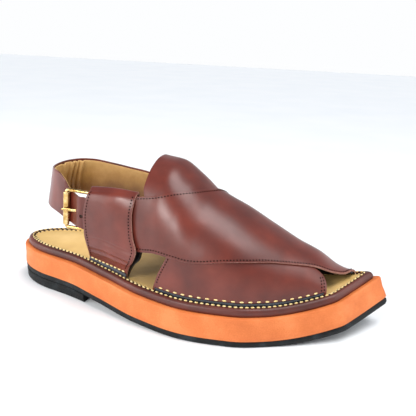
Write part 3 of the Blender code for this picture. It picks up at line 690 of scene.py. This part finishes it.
cowhide = brown_leather(
    "waxed_brown_cowhide", ((0.3, "#521D13"), (0.5, "#622519"), (0.72, "#733023")), 1.2, 0.34
)
# Lining leather, dyed black and left a little shiny
black_leather = brown_leather(
    "black_lining_leather", ((0.3, "#0C0A0B"), (0.5, "#151213"), (0.7, "#221D1E")), 1.0, 0.32
)
# Raw cut edge of dyed cowhide: lighter and pinker than the face, matt and fibrous
cut_edge, tree, shader, place = new_material("raw_cowhide_edge", Roughness=0.7)
fibres = add_node(tree, "ShaderNodeTexNoise", {"Vector": place, "Scale": 1400.0, "Detail": 3.0})
tint = add_node(
    tree,
    "ShaderNodeValToRGB",
    {"Fac": fibres.outputs["Fac"]},
    ((0.35, "#7E4A3E"), (0.5, "#A06E60"), (0.7, "#C49A8A")),
)
tree.links.new(tint.outputs["Color"], shader.inputs["Base Color"])

UPPER_WALL = 0.0018
under_place = strap_place(UNDER_STRAP, UPPER_WALL)
under_strap = laid_grid("under_strap_and_tongue", 150, 60, under_place)
cut_leather(under_strap, UPPER_WALL, cowhide, black_leather, cut_edge)
dress(under_strap, "upper", "brown_leather")

over_lift = curve_of(((0.0, 1.0), (0.86, 1.0), (0.95, 0.6), (1.0, 0.0)))
over_rest = strap_place(OVER_STRAP, UPPER_WALL)


def over_place(along, across, more=0.0):
    return over_rest(along, across, more + over_lift(along) * (UPPER_WALL + 0.0002))


over_strap = laid_grid("over_strap", 170, 60, over_place)
cut_leather(over_strap, UPPER_WALL, cowhide, black_leather, cut_edge)
dress(over_strap, "upper", "brown_leather")

# Strap seams: dark brown thread, nine stitches to 20 mm, sewn through leather and lining inside each edge.
# The seams that hold the straps to the footbed are cream, and a glossy black underlay shows below them.

# Polyester thread dyed dark brown: matt, so that it reads as a dotted line
dark_thread, tree, shader, place = new_material(
    "dark_polyester_thread", Roughness=0.8, Specular_IOR_Level=0.15
)
twist = add_node(tree, "ShaderNodeTexNoise", {"Vector": place, "Scale": 1800.0})
tint = add_node(
    tree, "ShaderNodeValToRGB", {"Fac": twist.outputs["Fac"]}, ((0.4, "#180A08"), (0.6, "#2A120D"))
)
tree.links.new(tint.outputs["Color"], shader.inputs["Base Color"])
DARK_STITCH = (0.0013, 0.0010, 0.0006)
CREAM_STITCH = (0.0030, 0.0012, 0.0009)


def edge_line(place, front, inset):
    """A line beside a strap's front or rear edge, inset from it."""

    def line(along, lift):
        a, b = place(along, 0.0), place(along, 1.0)
        share = inset / max((b - a).length, 0.004)
        return place(along, share if front else 1 - share, lift + 0.0001)

    return line


EDGE_PITCH = 0.0022
EDGE_INSET = 0.0019
for name, place, front, inset, start, end in (
    ("over_seam_front", over_place, True, EDGE_INSET, 0.05, 0.97),
    ("over_seam_rear", over_place, False, EDGE_INSET, 0.06, 0.97),
    ("under_seam_rear", under_place, False, EDGE_INSET, 0.03, 0.24),
    ("under_seam_front_a", under_place, True, 0.0016, 0.03, 0.20),
    ("under_seam_front_b", under_place, True, 0.0034, 0.03, 0.20),
):
    line = edge_line(place, front, inset)
    sew(name, line, start, end, EDGE_PITCH, DARK_STITCH, dark_thread, "brown_leather")

# Patent leather: black, smooth and glossy. Its colour is tinted blue in soft clouds, a painted reflection of
# the room.
underlay, tree, shader, place = new_material("black_patent_underlay", Roughness=0.22, IOR=1.5, Coat_Weight=0.4)
painted_reflection_cloud = add_node(tree, "ShaderNodeTexNoise", {"Vector": place, "Scale": 160.0, "Detail": 3.0})
tint = add_node(
    tree, "ShaderNodeValToRGB", {"Fac": painted_reflection_cloud.outputs["Fac"]}, ((0.35, "#0D1016"), (0.65, "#232A36"))
)
tree.links.new(tint.outputs["Color"], shader.inputs["Base Color"])


def base_turn(u, height, side):
    """The turn at which the last stands at a height over the footbed."""
    ridge_height, square = (last_columns[k](u / SOLE_LENGTH) for k in (1, 2))
    rise = (height / (INSTEP_HEIGHT * ridge_height)) ** (1 / square)
    turn = math.asin(min(rise, 1.0)) / math.pi
    return turn if side < 0 else 1 - turn


def hold_down(name, side, start, end, lift, low=0.0027, seam_height=0.0038):
    """The black underlay below a strap's base, and the seam that holds the strap to the footbed."""

    def strip(along, across):
        u = start + (end - start) * along
        return on_last(u, base_turn(u, 0.0002 + low * across, side), lift + 0.0002)

    def line(x, more):
        return on_last(x, base_turn(x, seam_height, side), lift + 0.0001 + more)

    band = laid_grid(f"{name}_underlay", 60, 5, strip)
    apply_modifier(band, "SOLIDIFY", thickness=0.0007, offset=0.0)
    dress(band, None, "brown_leather", underlay)
    if seam_height:
        ends = start + 0.002, end - 0.002
        sew(f"{name}_base_seam_0", line, *ends, BASE_PITCH, CREAM_STITCH, thread, "brown_leather")


BASE_PITCH = 0.0058
hold_down("under_strap", -1, 0.1415, 0.2505, UPPER_WALL)
hold_down("over_strap", 1, 0.1835, 0.2670, UPPER_WALL)

# Side loops: one strip of cowhide each, folded over at the top and sewn at the base, so that the straps pass
# between its two leaves. The leaf beside the foot and the tunnel are black, the outer leaf is brown.
KEEPER_WALL = 0.0018
KEEPER_ROOM = 0.0092
LATERAL_KEEPER = (
    # height, rear turn, front turn, rear station, front station, rear room, front room
    (0.00, 0.0002, 0.0002, 0.268, 0.392, 0.00, 0.00),
    (0.12, 0.015, 0.022, 0.276, 0.407, 0.30, 0.26),
    (0.28, 0.046, 0.050, 0.286, 0.430, 0.82, 0.62),
    (0.42, 0.071, 0.074, 0.286, 0.434, 0.98, 0.60),
    (0.60, 0.104, 0.105, 0.284, 0.423, 1.00, 0.56),
    (0.85, 0.164, 0.179, 0.290, 0.413, 0.96, 0.56),
    (0.93, 0.182, 0.210, 0.292, 0.413, 0.86, 0.52),
    (0.98, 0.191, 0.230, 0.292, 0.413, 0.68, 0.42),
    (1.00, 0.194, 0.238, 0.290, 0.413, 0.50, 0.30),
)
MEDIAL_KEEPER = (
    # height, rear turn, front turn, rear station, front station, rear room, front room
    (0.00, 0.9998, 0.9998, 0.400, 0.515, 0.00, 0.00),
    (0.12, 0.968, 0.966, 0.394, 0.520, 0.15, 0.12),
    (0.30, 0.935, 0.930, 0.390, 0.525, 0.60, 0.52),
    (0.60, 0.875, 0.860, 0.388, 0.528, 0.62, 0.54),
    (0.85, 0.810, 0.785, 0.388, 0.528, 0.62, 0.54),
    (0.95, 0.782, 0.748, 0.388, 0.527, 0.52, 0.44),
    (1.00, 0.768, 0.730, 0.388, 0.526, 0.20, 0.16),
)
# The share of a loop's strip that each leaf takes. The rest is the fold between them
LEAF_SHARE = 0.46
# Creases of the outer leaf where it bends in to its base: height, depth, and how sharp
KEEPER_CREASES = (
    (0.380, -0.0010, 0.035),
    (0.265, 0.0006, 0.022),
    (0.215, -0.0007, 0.016),
    (0.165, 0.0006, 0.016),
)


def loop_place(table, creases):
    """Where a side loop's skin lies: a share from rear to front, and a share round it from base to base."""
    reads = [curve_of(table, k) for k in range(1, 7)]

    def leaf(share, height, side, more=0.0):
        rear_turn, front_turn, rear, front, rear_room, front_room = (read(height) for read in reads)
        turn = rear_turn + (front_turn - rear_turn) * share
        u = (rear + (front - rear) * share) * SOLE_LENGTH
        room = (rear_room + (front_room - rear_room) * share) * KEEPER_ROOM
        if side < 0:
            return on_last(u, turn, -KEEPER_WALL - 0.0003 - more)
        for at, depth, reach in creases:
            drift = at + 0.05 * (share - 0.5) + 0.02 * math.sin(5 * share)
            fade = math.sqrt(max(math.sin(math.pi * share), 0.0))
            more += depth * math.exp(-(((height - drift) / reach) ** 2)) * fade
        spot = last_point(u, turn)
        return on_last(u, turn, KEEPER_WALL - 0.0003 + room + more + 0.0003 * noise.noise(spot * 90))

    def place(share, round_share):
        if round_share <= LEAF_SHARE:
            return leaf(share, round_share / LEAF_SHARE, -1)
        if round_share >= 1 - LEAF_SHARE:
            return leaf(share, (1 - round_share) / LEAF_SHARE, 1)
        inner, outer = leaf(share, 1.0, -1), leaf(share, 1.0, 1)
        across = (round_share - LEAF_SHARE) / (1 - 2 * LEAF_SHARE)
        up = (leaf(share, 1.0, -1) - leaf(share, 0.97, -1)).normalized()
        bow = math.sin(math.pi * across) * (outer - inner).length * 0.38
        return inner.lerp(outer, across) + up * bow

    return place, leaf


LOOP_COLUMNS = 34
LOOP_ROWS = 150
INNER_LEAF_ROWS = 66
LOOP_BASE_PITCH = 0.0040
LOOP_BASE_LINE = 0.056
for name, table, side, creases in (
    ("keeper_lateral", LATERAL_KEEPER, -1, KEEPER_CREASES),
    ("keeper_medial", MEDIAL_KEEPER, 1, ()),
):
    place, leaf = loop_place(table, creases)
    loop = laid_grid(f"{name}_leather", LOOP_COLUMNS, LOOP_ROWS, place)
    for face in loop.data.polygons:
        row = face.vertices[0] // (LOOP_COLUMNS + 1)
        face.material_index = 3 if row < INNER_LEAF_ROWS else 0
    close_up(loop)
    cut_leather(loop, KEEPER_WALL, cowhide, black_leather, cut_edge, *[black_leather] * 3)
    dress(loop, name, "brown_leather")
    for label, share in (("rear", 0.055), ("front", 0.945)):

        def side_line_of_leaf(height, lift, leaf=leaf, share=share):
            return leaf(share, height, 1, lift + 0.0001)

        sew(
            f"{name}_seam_{label}",
            side_line_of_leaf,
            0.10,
            0.985,
            EDGE_PITCH,
            DARK_STITCH,
            dark_thread,
            "brown_leather",
        )
    start, end = table[1][3] * SOLE_LENGTH, table[1][4] * SOLE_LENGTH
    hold_down(name, side, start - 0.001, end - 0.003, KEEPER_WALL + 0.0007, low=0.0042, seam_height=0.0)

    def base_line(share, lift, leaf=leaf):
        return leaf(share, LOOP_BASE_LINE, 1, lift + 0.0002)

    sew(f"{name}_base_seam", base_line, 0.04, 0.96, LOOP_BASE_PITCH, CREAM_STITCH, thread, "brown_leather")

# Heel strap: brown cowhide outside and tan sheepskin inside, glued and cut together. It runs from the inner
# loop round the heel, where the lining wrinkles, through the buckle and into the outer loop.
STRAP_THICKNESS = 0.0026
STRAP_LEVEL = 0.0830
WIRE_RADIUS = 0.0013
BUCKLE_LENGTH = 0.0215
BUCKLE_HEIGHT = 0.0285
BUCKLE_CORNER = 0.0018
BUCKLE_STATION = 0.0635
BUCKLE_LEVEL = 0.0735
BUCKLE_DROP = 0.0013
BUCKLE_TILT = 0.0024
ROLLER_RADIUS = 0.0024
STRAP_BEHIND_ROLLER = 0.0037
HEEL_STRAP = (
    # upper station, upper side, upper level, lower station, lower side, lower level
    (0.340, 0.290, 1.096, 0.340, 0.300, 0.765),
    (0.272, 0.305, 1.120, 0.272, 0.315, 0.783),
    (0.212, 0.300, 1.145, 0.205, 0.310, 0.795),
    (0.172, 0.265, 1.169, 0.161, 0.275, 0.813),
    (0.141, 0.190, 1.180, 0.127, 0.195, 0.825),
    (0.123, 0.090, 1.180, 0.107, 0.090, 0.831),
    (0.119, -0.020, 1.175, 0.103, -0.020, 0.831),
    (0.131, -0.140, 1.175, 0.113, -0.140, 0.825),
    (0.157, -0.235, 1.187, 0.142, -0.235, 0.819),
    (0.184, -0.290, 1.181, 0.174, -0.290, 0.807),
    (0.207, -0.318, 1.130, 0.198, -0.318, 0.786),
)
STRAP_THROUGH_BUCKLE = (
    # along, depth, upper height, lower height
    (0.02, 1.02, 0.500, -0.375),
    (0.34, 0.05, 0.410, -0.410),
    (0.58, -0.82, 0.410, -0.430),
    (0.80, -0.77, 0.400, -0.450),
)
MEDIAL_END = (
    # station, upper turn, lower turn, share of the loop's room
    (0.465, 0.800, 0.895, 0.15),
    (0.430, 0.797, 0.900, 0.16),
    (0.395, 0.797, 0.905, 0.18),
)
LATERAL_END = (
    # station, upper turn, lower turn, share of the loop's room
    (0.298, 0.150, 0.068, 0.60),
    (0.320, 0.152, 0.068, 0.54),
    (0.345, 0.156, 0.068, 0.45),
)
# The hinge bar stands off the last by its own radius, the strap and a little air
HINGE_LIFT = 0.0024
hinge_y = on_last(BUCKLE_STATION + BUCKLE_LENGTH, 0.105, HINGE_LIFT).y


def buckle_place(share, height):
    """A point of the buckle's plane: a share from roller bar to hinge bar, and a height from its middle."""
    u = BUCKLE_STATION + share * BUCKLE_LENGTH + height * BUCKLE_DROP / BUCKLE_LENGTH
    level = BUCKLE_LEVEL + height - share * BUCKLE_DROP
    return Vector((u - ORIGIN.x, hinge_y - (1 - share) * BUCKLE_TILT, level))


strap_lines = ([], [], [])
for rows in (MEDIAL_END, LATERAL_END):
    if rows is LATERAL_END:
        for row in HEEL_STRAP:
            for line, (station, side, level) in ((strap_lines[0], row[:3]), (strap_lines[2], row[3:])):
                line.append(Vector((station * SOLE_LENGTH, side * BALL_WIDTH, level * STRAP_LEVEL)) - ORIGIN)
            strap_lines[1].append((strap_lines[0][-1] + strap_lines[2][-1]) / 2)
        for along, depth, high, low in STRAP_THROUGH_BUCKLE:
            behind = Vector((0.0, depth * STRAP_BEHIND_ROLLER, 0.0))
            for line, height in zip(strap_lines, (high, (high + low) / 2, low)):
                line.append(buckle_place(along, height * BUCKLE_HEIGHT) + behind)
    for station, upper_turn, lower_turn, lift in rows:
        for line, turn in zip(strap_lines, (upper_turn, (upper_turn + lower_turn) / 2, lower_turn)):
            line.append(on_last(station * SOLE_LENGTH, turn, lift * KEEPER_ROOM))


def spline(points, share):
    place = share * (len(points) - 1)
    i = min(int(place), len(points) - 2)
    t = place - i
    a, b = points[i], points[i + 1]
    before = points[i - 1] if i else a * 2 - b
    after = points[i + 2] if i + 2 < len(points) else b * 2 - a
    return (
        a * (1 + 2 * t) * (1 - t) ** 2
        + (b - before) / 2 * t * (1 - t) ** 2
        + b * t * t * (3 - 2 * t)
        + (after - a) / 2 * t * t * (t - 1)
    )


def strap_middle(along, up):
    top, centre, bottom = (spline(line, along) for line in strap_lines)
    return bottom.lerp(top, up) + (centre - (bottom + top) / 2) * 4 * up * (1 - up)


# Upright folds of the lining behind the heel: share along the strap, reach, depth
WRINKLES = ((0.352, 0.0040, 1.0), (0.373, 0.0036, 0.9), (0.392, 0.0040, 1.0), (0.436, 0.0055, 0.8))


def heel_strap_place(depth, wrinkles=0.0, inset=0.0):
    """The heel strap at a depth outwards from its middle. Wrinkles are upright folds behind the heel."""

    def place(along, up, more=0.0):
        up = inset + (1 - 2 * inset) * up
        ahead, behind = min(along + 0.006, 1.0), max(along - 0.006, 0.0)
        run = strap_middle(ahead, up) - strap_middle(behind, up)
        across = strap_middle(along, min(up + 0.1, 1.0)) - strap_middle(along, max(up - 0.1, 0.0))
        out = run.cross(across).normalized()
        fold = 0.0
        for at, reach, deep in WRINKLES:
            fold += deep * math.exp(-(((along - at - 0.006 * math.sin(4 * up)) / reach) ** 2))
        wave = 0.0003 * noise.noise(strap_middle(along, up) * 70)
        return strap_middle(along, up) + out * (depth + more + wave - wrinkles * fold)

    return place


# Sheepskin lining, vegetable-tanned: softer and browner than the insole. It is painted darker lower down and
# paler along its upper edge, a painted shade.
lining, tree, shader, place = new_material("sheepskin_lining", Roughness=0.48, IOR=1.48)
patches = add_node(
    tree, "ShaderNodeTexNoise", {"Vector": place, "Scale": 60.0, "Detail": 5.0, "Roughness": 0.65}
)
fine = add_node(tree, "ShaderNodeTexNoise", {"Vector": place, "Scale": 700.0, "Detail": 4.0})
height = add_node(tree, "ShaderNodeSeparateXYZ", {"Vector": place})
# Painted shade: the lining's colour runs from dark low on the strap to pale at its top edge
painted_shade_by_height = add_node(
    tree,
    "ShaderNodeMapRange",
    {"Value": height.outputs["Z"], "From Min": 0.070, "From Max": 0.100, "To Min": 0.0, "To Max": 1.0},
)
shaded = add_node(
    tree, "ShaderNodeMix", {"Factor": 0.6, "A": patches.outputs["Fac"], "B": painted_shade_by_height.outputs["Result"]}
)
tint = add_node(
    tree,
    "ShaderNodeValToRGB",
    {"Fac": shaded.outputs["Result"]},
    ((0.25, "#7C5226"), (0.5, "#AC8046"), (0.78, "#DDB272")),
)
tree.links.new(tint.outputs["Color"], shader.inputs["Base Color"])
bump = add_node(tree, "ShaderNodeBump", {"Height": fine.outputs["Fac"], "Strength": 0.3, "Distance": 0.0004})
tree.links.new(bump.outputs["Normal"], shader.inputs["Normal"])

FACE_THICKNESS = 0.00125
LINING_THICKNESS = 0.0012
LINING_DEPTH = -0.0001
LINING_INSET = 0.045
WRINKLE_DEPTH = 0.0024
HOLE_RADIUS = 0.0013
HOLE_SHADE_RADIUS = 0.00125
HOLE_DEPTH = -0.0036
strap_face = heel_strap_place(STRAP_THICKNESS / 2)
outer_strap = laid_grid("heel_strap_leather", 260, 18, strap_face)
apply_modifier(outer_strap, "SOLIDIFY", thickness=FACE_THICKNESS, offset=-1.0, material_offset_rim=0)
lining_face = heel_strap_place(LINING_DEPTH, WRINKLE_DEPTH, LINING_INSET)
inner_strap = laid_grid("heel_strap_lining", 420, 18, lining_face)
apply_modifier(inner_strap, "SOLIDIFY", thickness=LINING_THICKNESS, offset=-1.0)

# Both layers get a bevelled edge and the punched hole, which is shaded a little below the surface
hole_middle = buckle_place(0.66, -0.10 * BUCKLE_HEIGHT)
bpy.ops.object.select_all(action="DESELECT")
bpy.ops.mesh.primitive_cylinder_add(
    vertices=24, radius=HOLE_RADIUS, depth=0.016, location=hole_middle, rotation=(math.pi / 2, 0, 0)
)
punch = bpy.context.active_object
for piece in (outer_strap, inner_strap):
    ease_edges(piece)
    apply_modifier(piece, "BOOLEAN", operation="DIFFERENCE", object=punch)
bpy.data.objects.remove(punch)
dress(outer_strap, "heel_strap", "brown_leather", cowhide)
dress(inner_strap, "heel_strap", "brown_leather", lining)
bpy.ops.object.select_all(action="DESELECT")
bpy.ops.mesh.primitive_uv_sphere_add(segments=12, ring_count=6, radius=HOLE_SHADE_RADIUS)
hole_shade = bpy.context.active_object
hole_shade.name = hole_shade.data.name = "punched_hole_shade"
for vertex in hole_shade.data.vertices:
    flat = Vector((vertex.co.x, vertex.co.y * 0.3 + HOLE_DEPTH, vertex.co.z))
    vertex.co = flat + hole_middle
dress(hole_shade, None, "brown_leather", hole)

# Buckle: a rectangle of cast and polished brass wire, a turned roller on its far bar, and a pin with a
# flattened body that hinges on the near bar and lies on the roller.

# Polished brass: bright, with soft clouds where the polish has dulled
brass, tree, shader, place = new_material("polished_brass", Metallic=1.0, Roughness=0.2)
tarnish = add_node(tree, "ShaderNodeTexNoise", {"Vector": place, "Scale": 220.0, "Detail": 4.0})
tint = add_node(
    tree,
    "ShaderNodeValToRGB",
    {"Fac": tarnish.outputs["Fac"]},
    ((0.35, "#A98245"), (0.5, "#D0AC6C"), (0.7, "#E8D09A")),
)
tree.links.new(tint.outputs["Color"], shader.inputs["Base Color"])
shine = add_node(
    tree,
    "ShaderNodeMapRange",
    {"Value": tarnish.outputs["Fac"], "From Min": 0.3, "From Max": 0.7, "To Min": 0.14, "To Max": 0.3},
)
tree.links.new(shine.outputs["Result"], shader.inputs["Roughness"])

half = BUCKLE_HEIGHT / 2
corner_share = BUCKLE_CORNER / BUCKLE_LENGTH
wire_points = []
for middle, height, first in (
    (corner_share, half - BUCKLE_CORNER, 90),
    (corner_share, -half + BUCKLE_CORNER, 180),
    (1 - corner_share, -half + BUCKLE_CORNER, 270),
    (1 - corner_share, half - BUCKLE_CORNER, 0),
):
    for step in range(9):
        angle = math.radians(first + 90 * step / 8)
        wire_points.append(
            buckle_place(middle + corner_share * math.cos(angle), height + BUCKLE_CORNER * math.sin(angle))
        )
wire_ring = 20


def wire_place(along, across):
    count = len(wire_points)
    k = round(along * count) % count
    run = (wire_points[(k + 1) % count] - wire_points[k - 1]).normalized()
    side = Vector((0.0, 1.0, 0.0))
    up = side.cross(run).normalized()
    angle = 2 * math.pi * across
    return wire_points[k] + side * math.cos(angle) * WIRE_RADIUS + up * math.sin(angle) * WIRE_RADIUS


buckle = laid_grid("buckle_wire", len(wire_points), wire_ring, wire_place)
close_up(buckle)
dress(buckle, "buckle_frame", "brass", brass)

roller_low, roller_high = buckle_place(0.0, -half + BUCKLE_CORNER), buckle_place(0.0, half - BUCKLE_CORNER)
ROLLER_PROFILE = (
    # share of the length, share of the radius
    (0.000, 0.64),
    (0.000, 0.86),
    (0.012, 0.97),
    (0.030, 1.00),
    (0.500, 1.00),
    (0.970, 1.00),
    (0.988, 0.97),
    (1.000, 0.86),
    (1.000, 0.64),
)
roller_turn = (roller_high - roller_low).to_track_quat("Z", "Y")


def roller_place(along, across):
    share, radius = ROLLER_PROFILE[round(across * (len(ROLLER_PROFILE) - 1))]
    angle = 2 * math.pi * along
    out = roller_turn @ Vector((math.cos(angle), math.sin(angle), 0.0))
    return roller_low.lerp(roller_high, share) + out * radius * ROLLER_RADIUS


roller = laid_grid("buckle_roller_tube", 36, len(ROLLER_PROFILE) - 1, roller_place)
close_up(roller)
dress(roller, "buckle_roller", "brass", brass)

hinge = buckle_place(1.0, 0.0)
over_roller = buckle_place(0.0, 0.0) - Vector((0.0, ROLLER_RADIUS + 0.0012, 0.0))
pin_tip = over_roller + (over_roller - hinge) * 0.08
PIN_PROFILE = (
    # share from the hinge to the tip, half width, half thickness in millimetres
    (0.00, 1.1, 0.75),
    (0.50, 1.1, 0.75),
    (0.86, 1.1, 0.70),
    (0.95, 1.0, 0.60),
    (0.99, 0.7, 0.40),
    (1.00, 0.1, 0.10),
)
pin_run = (pin_tip - hinge).normalized()
pin_out = Vector((0.0, -1.0, 0.0))
pin_out = (pin_out - pin_run * pin_out.dot(pin_run)).normalized()
pin_up = pin_run.cross(pin_out)


def pin_place(along, across):
    share, width, thickness = PIN_PROFILE[round(along * (len(PIN_PROFILE) - 1))]
    angle = 2 * math.pi * across
    ridge = 1.0 - 0.35 * math.exp(-((math.sin(angle) / 0.35) ** 2)) * (math.cos(angle) > 0)
    offset = pin_up * math.sin(angle) * width + pin_out * math.cos(angle) * thickness * ridge
    return hinge.lerp(pin_tip, share) + offset / 1000


pin = laid_grid("buckle_pin", len(PIN_PROFILE) - 1, 40, pin_place)
close_up(pin, fill=True)
dress(pin, "buckle_prong", "brass", brass)

# Studio: a white paper floor, a broad soft light overhead that leans to the toe, and three weaker soft lights
# from the heel's side, the toe's side and the front.
bpy.ops.object.select_all(action="DESELECT")
bpy.ops.mesh.primitive_plane_add(size=8.0, location=(0.0, 0.0, 0.0))
floor = bpy.context.active_object
floor.name = "paper_floor"
# Matt white paper
paper, tree, shader, place = new_material("white_paper", Roughness=0.85)
fleck = add_node(tree, "ShaderNodeTexNoise", {"Vector": place, "Scale": 6.0})
tint = add_node(
    tree, "ShaderNodeValToRGB", {"Fac": fleck.outputs["Fac"]}, ((0.3, "#F4F6F8"), (0.7, "#F8F9FA"))
)
tree.links.new(tint.outputs["Color"], shader.inputs["Base Color"])
floor.data.materials.append(paper)

# The room is white round the table and dimmer overhead, so that the gloss of the leather reads
world = bpy.data.worlds.new("studio")
bpy.context.scene.world = world
world.use_nodes = True
tree = world.node_tree
sky_place = tree.nodes.new("ShaderNodeTexCoord").outputs["Generated"]
sky = add_node(tree, "ShaderNodeSeparateXYZ", {"Vector": sky_place})
tint = add_node(
    tree, "ShaderNodeValToRGB", {"Fac": sky.outputs["Z"]}, ((0.20, "#FDFEFF"), (0.42, "#8F969F"))
)
tree.links.new(tint.outputs["Color"], tree.nodes["Background"].inputs["Color"])


def soft_light(name, place, target, size, watts, colour):
    light = bpy.data.lights.new(name, "AREA")
    light.shape = "RECTANGLE"
    light.size, light.size_y = size
    light.energy = watts
    light.color = colour
    made = bpy.data.objects.new(name, light)
    made.location = place
    made.rotation_euler = (Vector(target) - Vector(place)).to_track_quat("-Z", "Y").to_euler()
    bpy.context.scene.collection.objects.link(made)


soft_light("left", (-0.80, -0.45, 0.32), (-0.05, 0.0, 0.03), (0.6, 0.5), 3.6, (1.0, 0.99, 0.97))
soft_light("front", (-0.22, -0.80, 0.55), (-0.01, -0.02, 0.03), (0.35, 0.25), 4.5, (1.0, 0.99, 0.97))
soft_light("right", (0.75, 0.10, 0.40), (0.10, 0.0, 0.03), (0.5, 0.5), 1.6, (1.0, 0.99, 0.97))
overhead = bpy.data.lights.new("overhead", "SUN")
overhead.energy = 2.1
overhead.angle = math.radians(38)
overhead_place = bpy.data.objects.new("overhead", overhead)
overhead_place.rotation_euler = Vector((0.33, 0.03, 0.94)).to_track_quat("Z", "Y").to_euler()
bpy.context.scene.collection.objects.link(overhead_place)

bpy.context.scene.view_settings.view_transform = "Standard"

camera = bpy.data.objects.new("camera", bpy.data.cameras.new("camera"))
camera.data.lens = 47.692
camera.data.sensor_width = 36.0
camera.location = (0.14821429, -0.35489374, 0.19505855)
camera.rotation_euler = (1.2754, -0.0374, 0.3637)
bpy.context.scene.collection.objects.link(camera)
bpy.context.scene.camera = camera
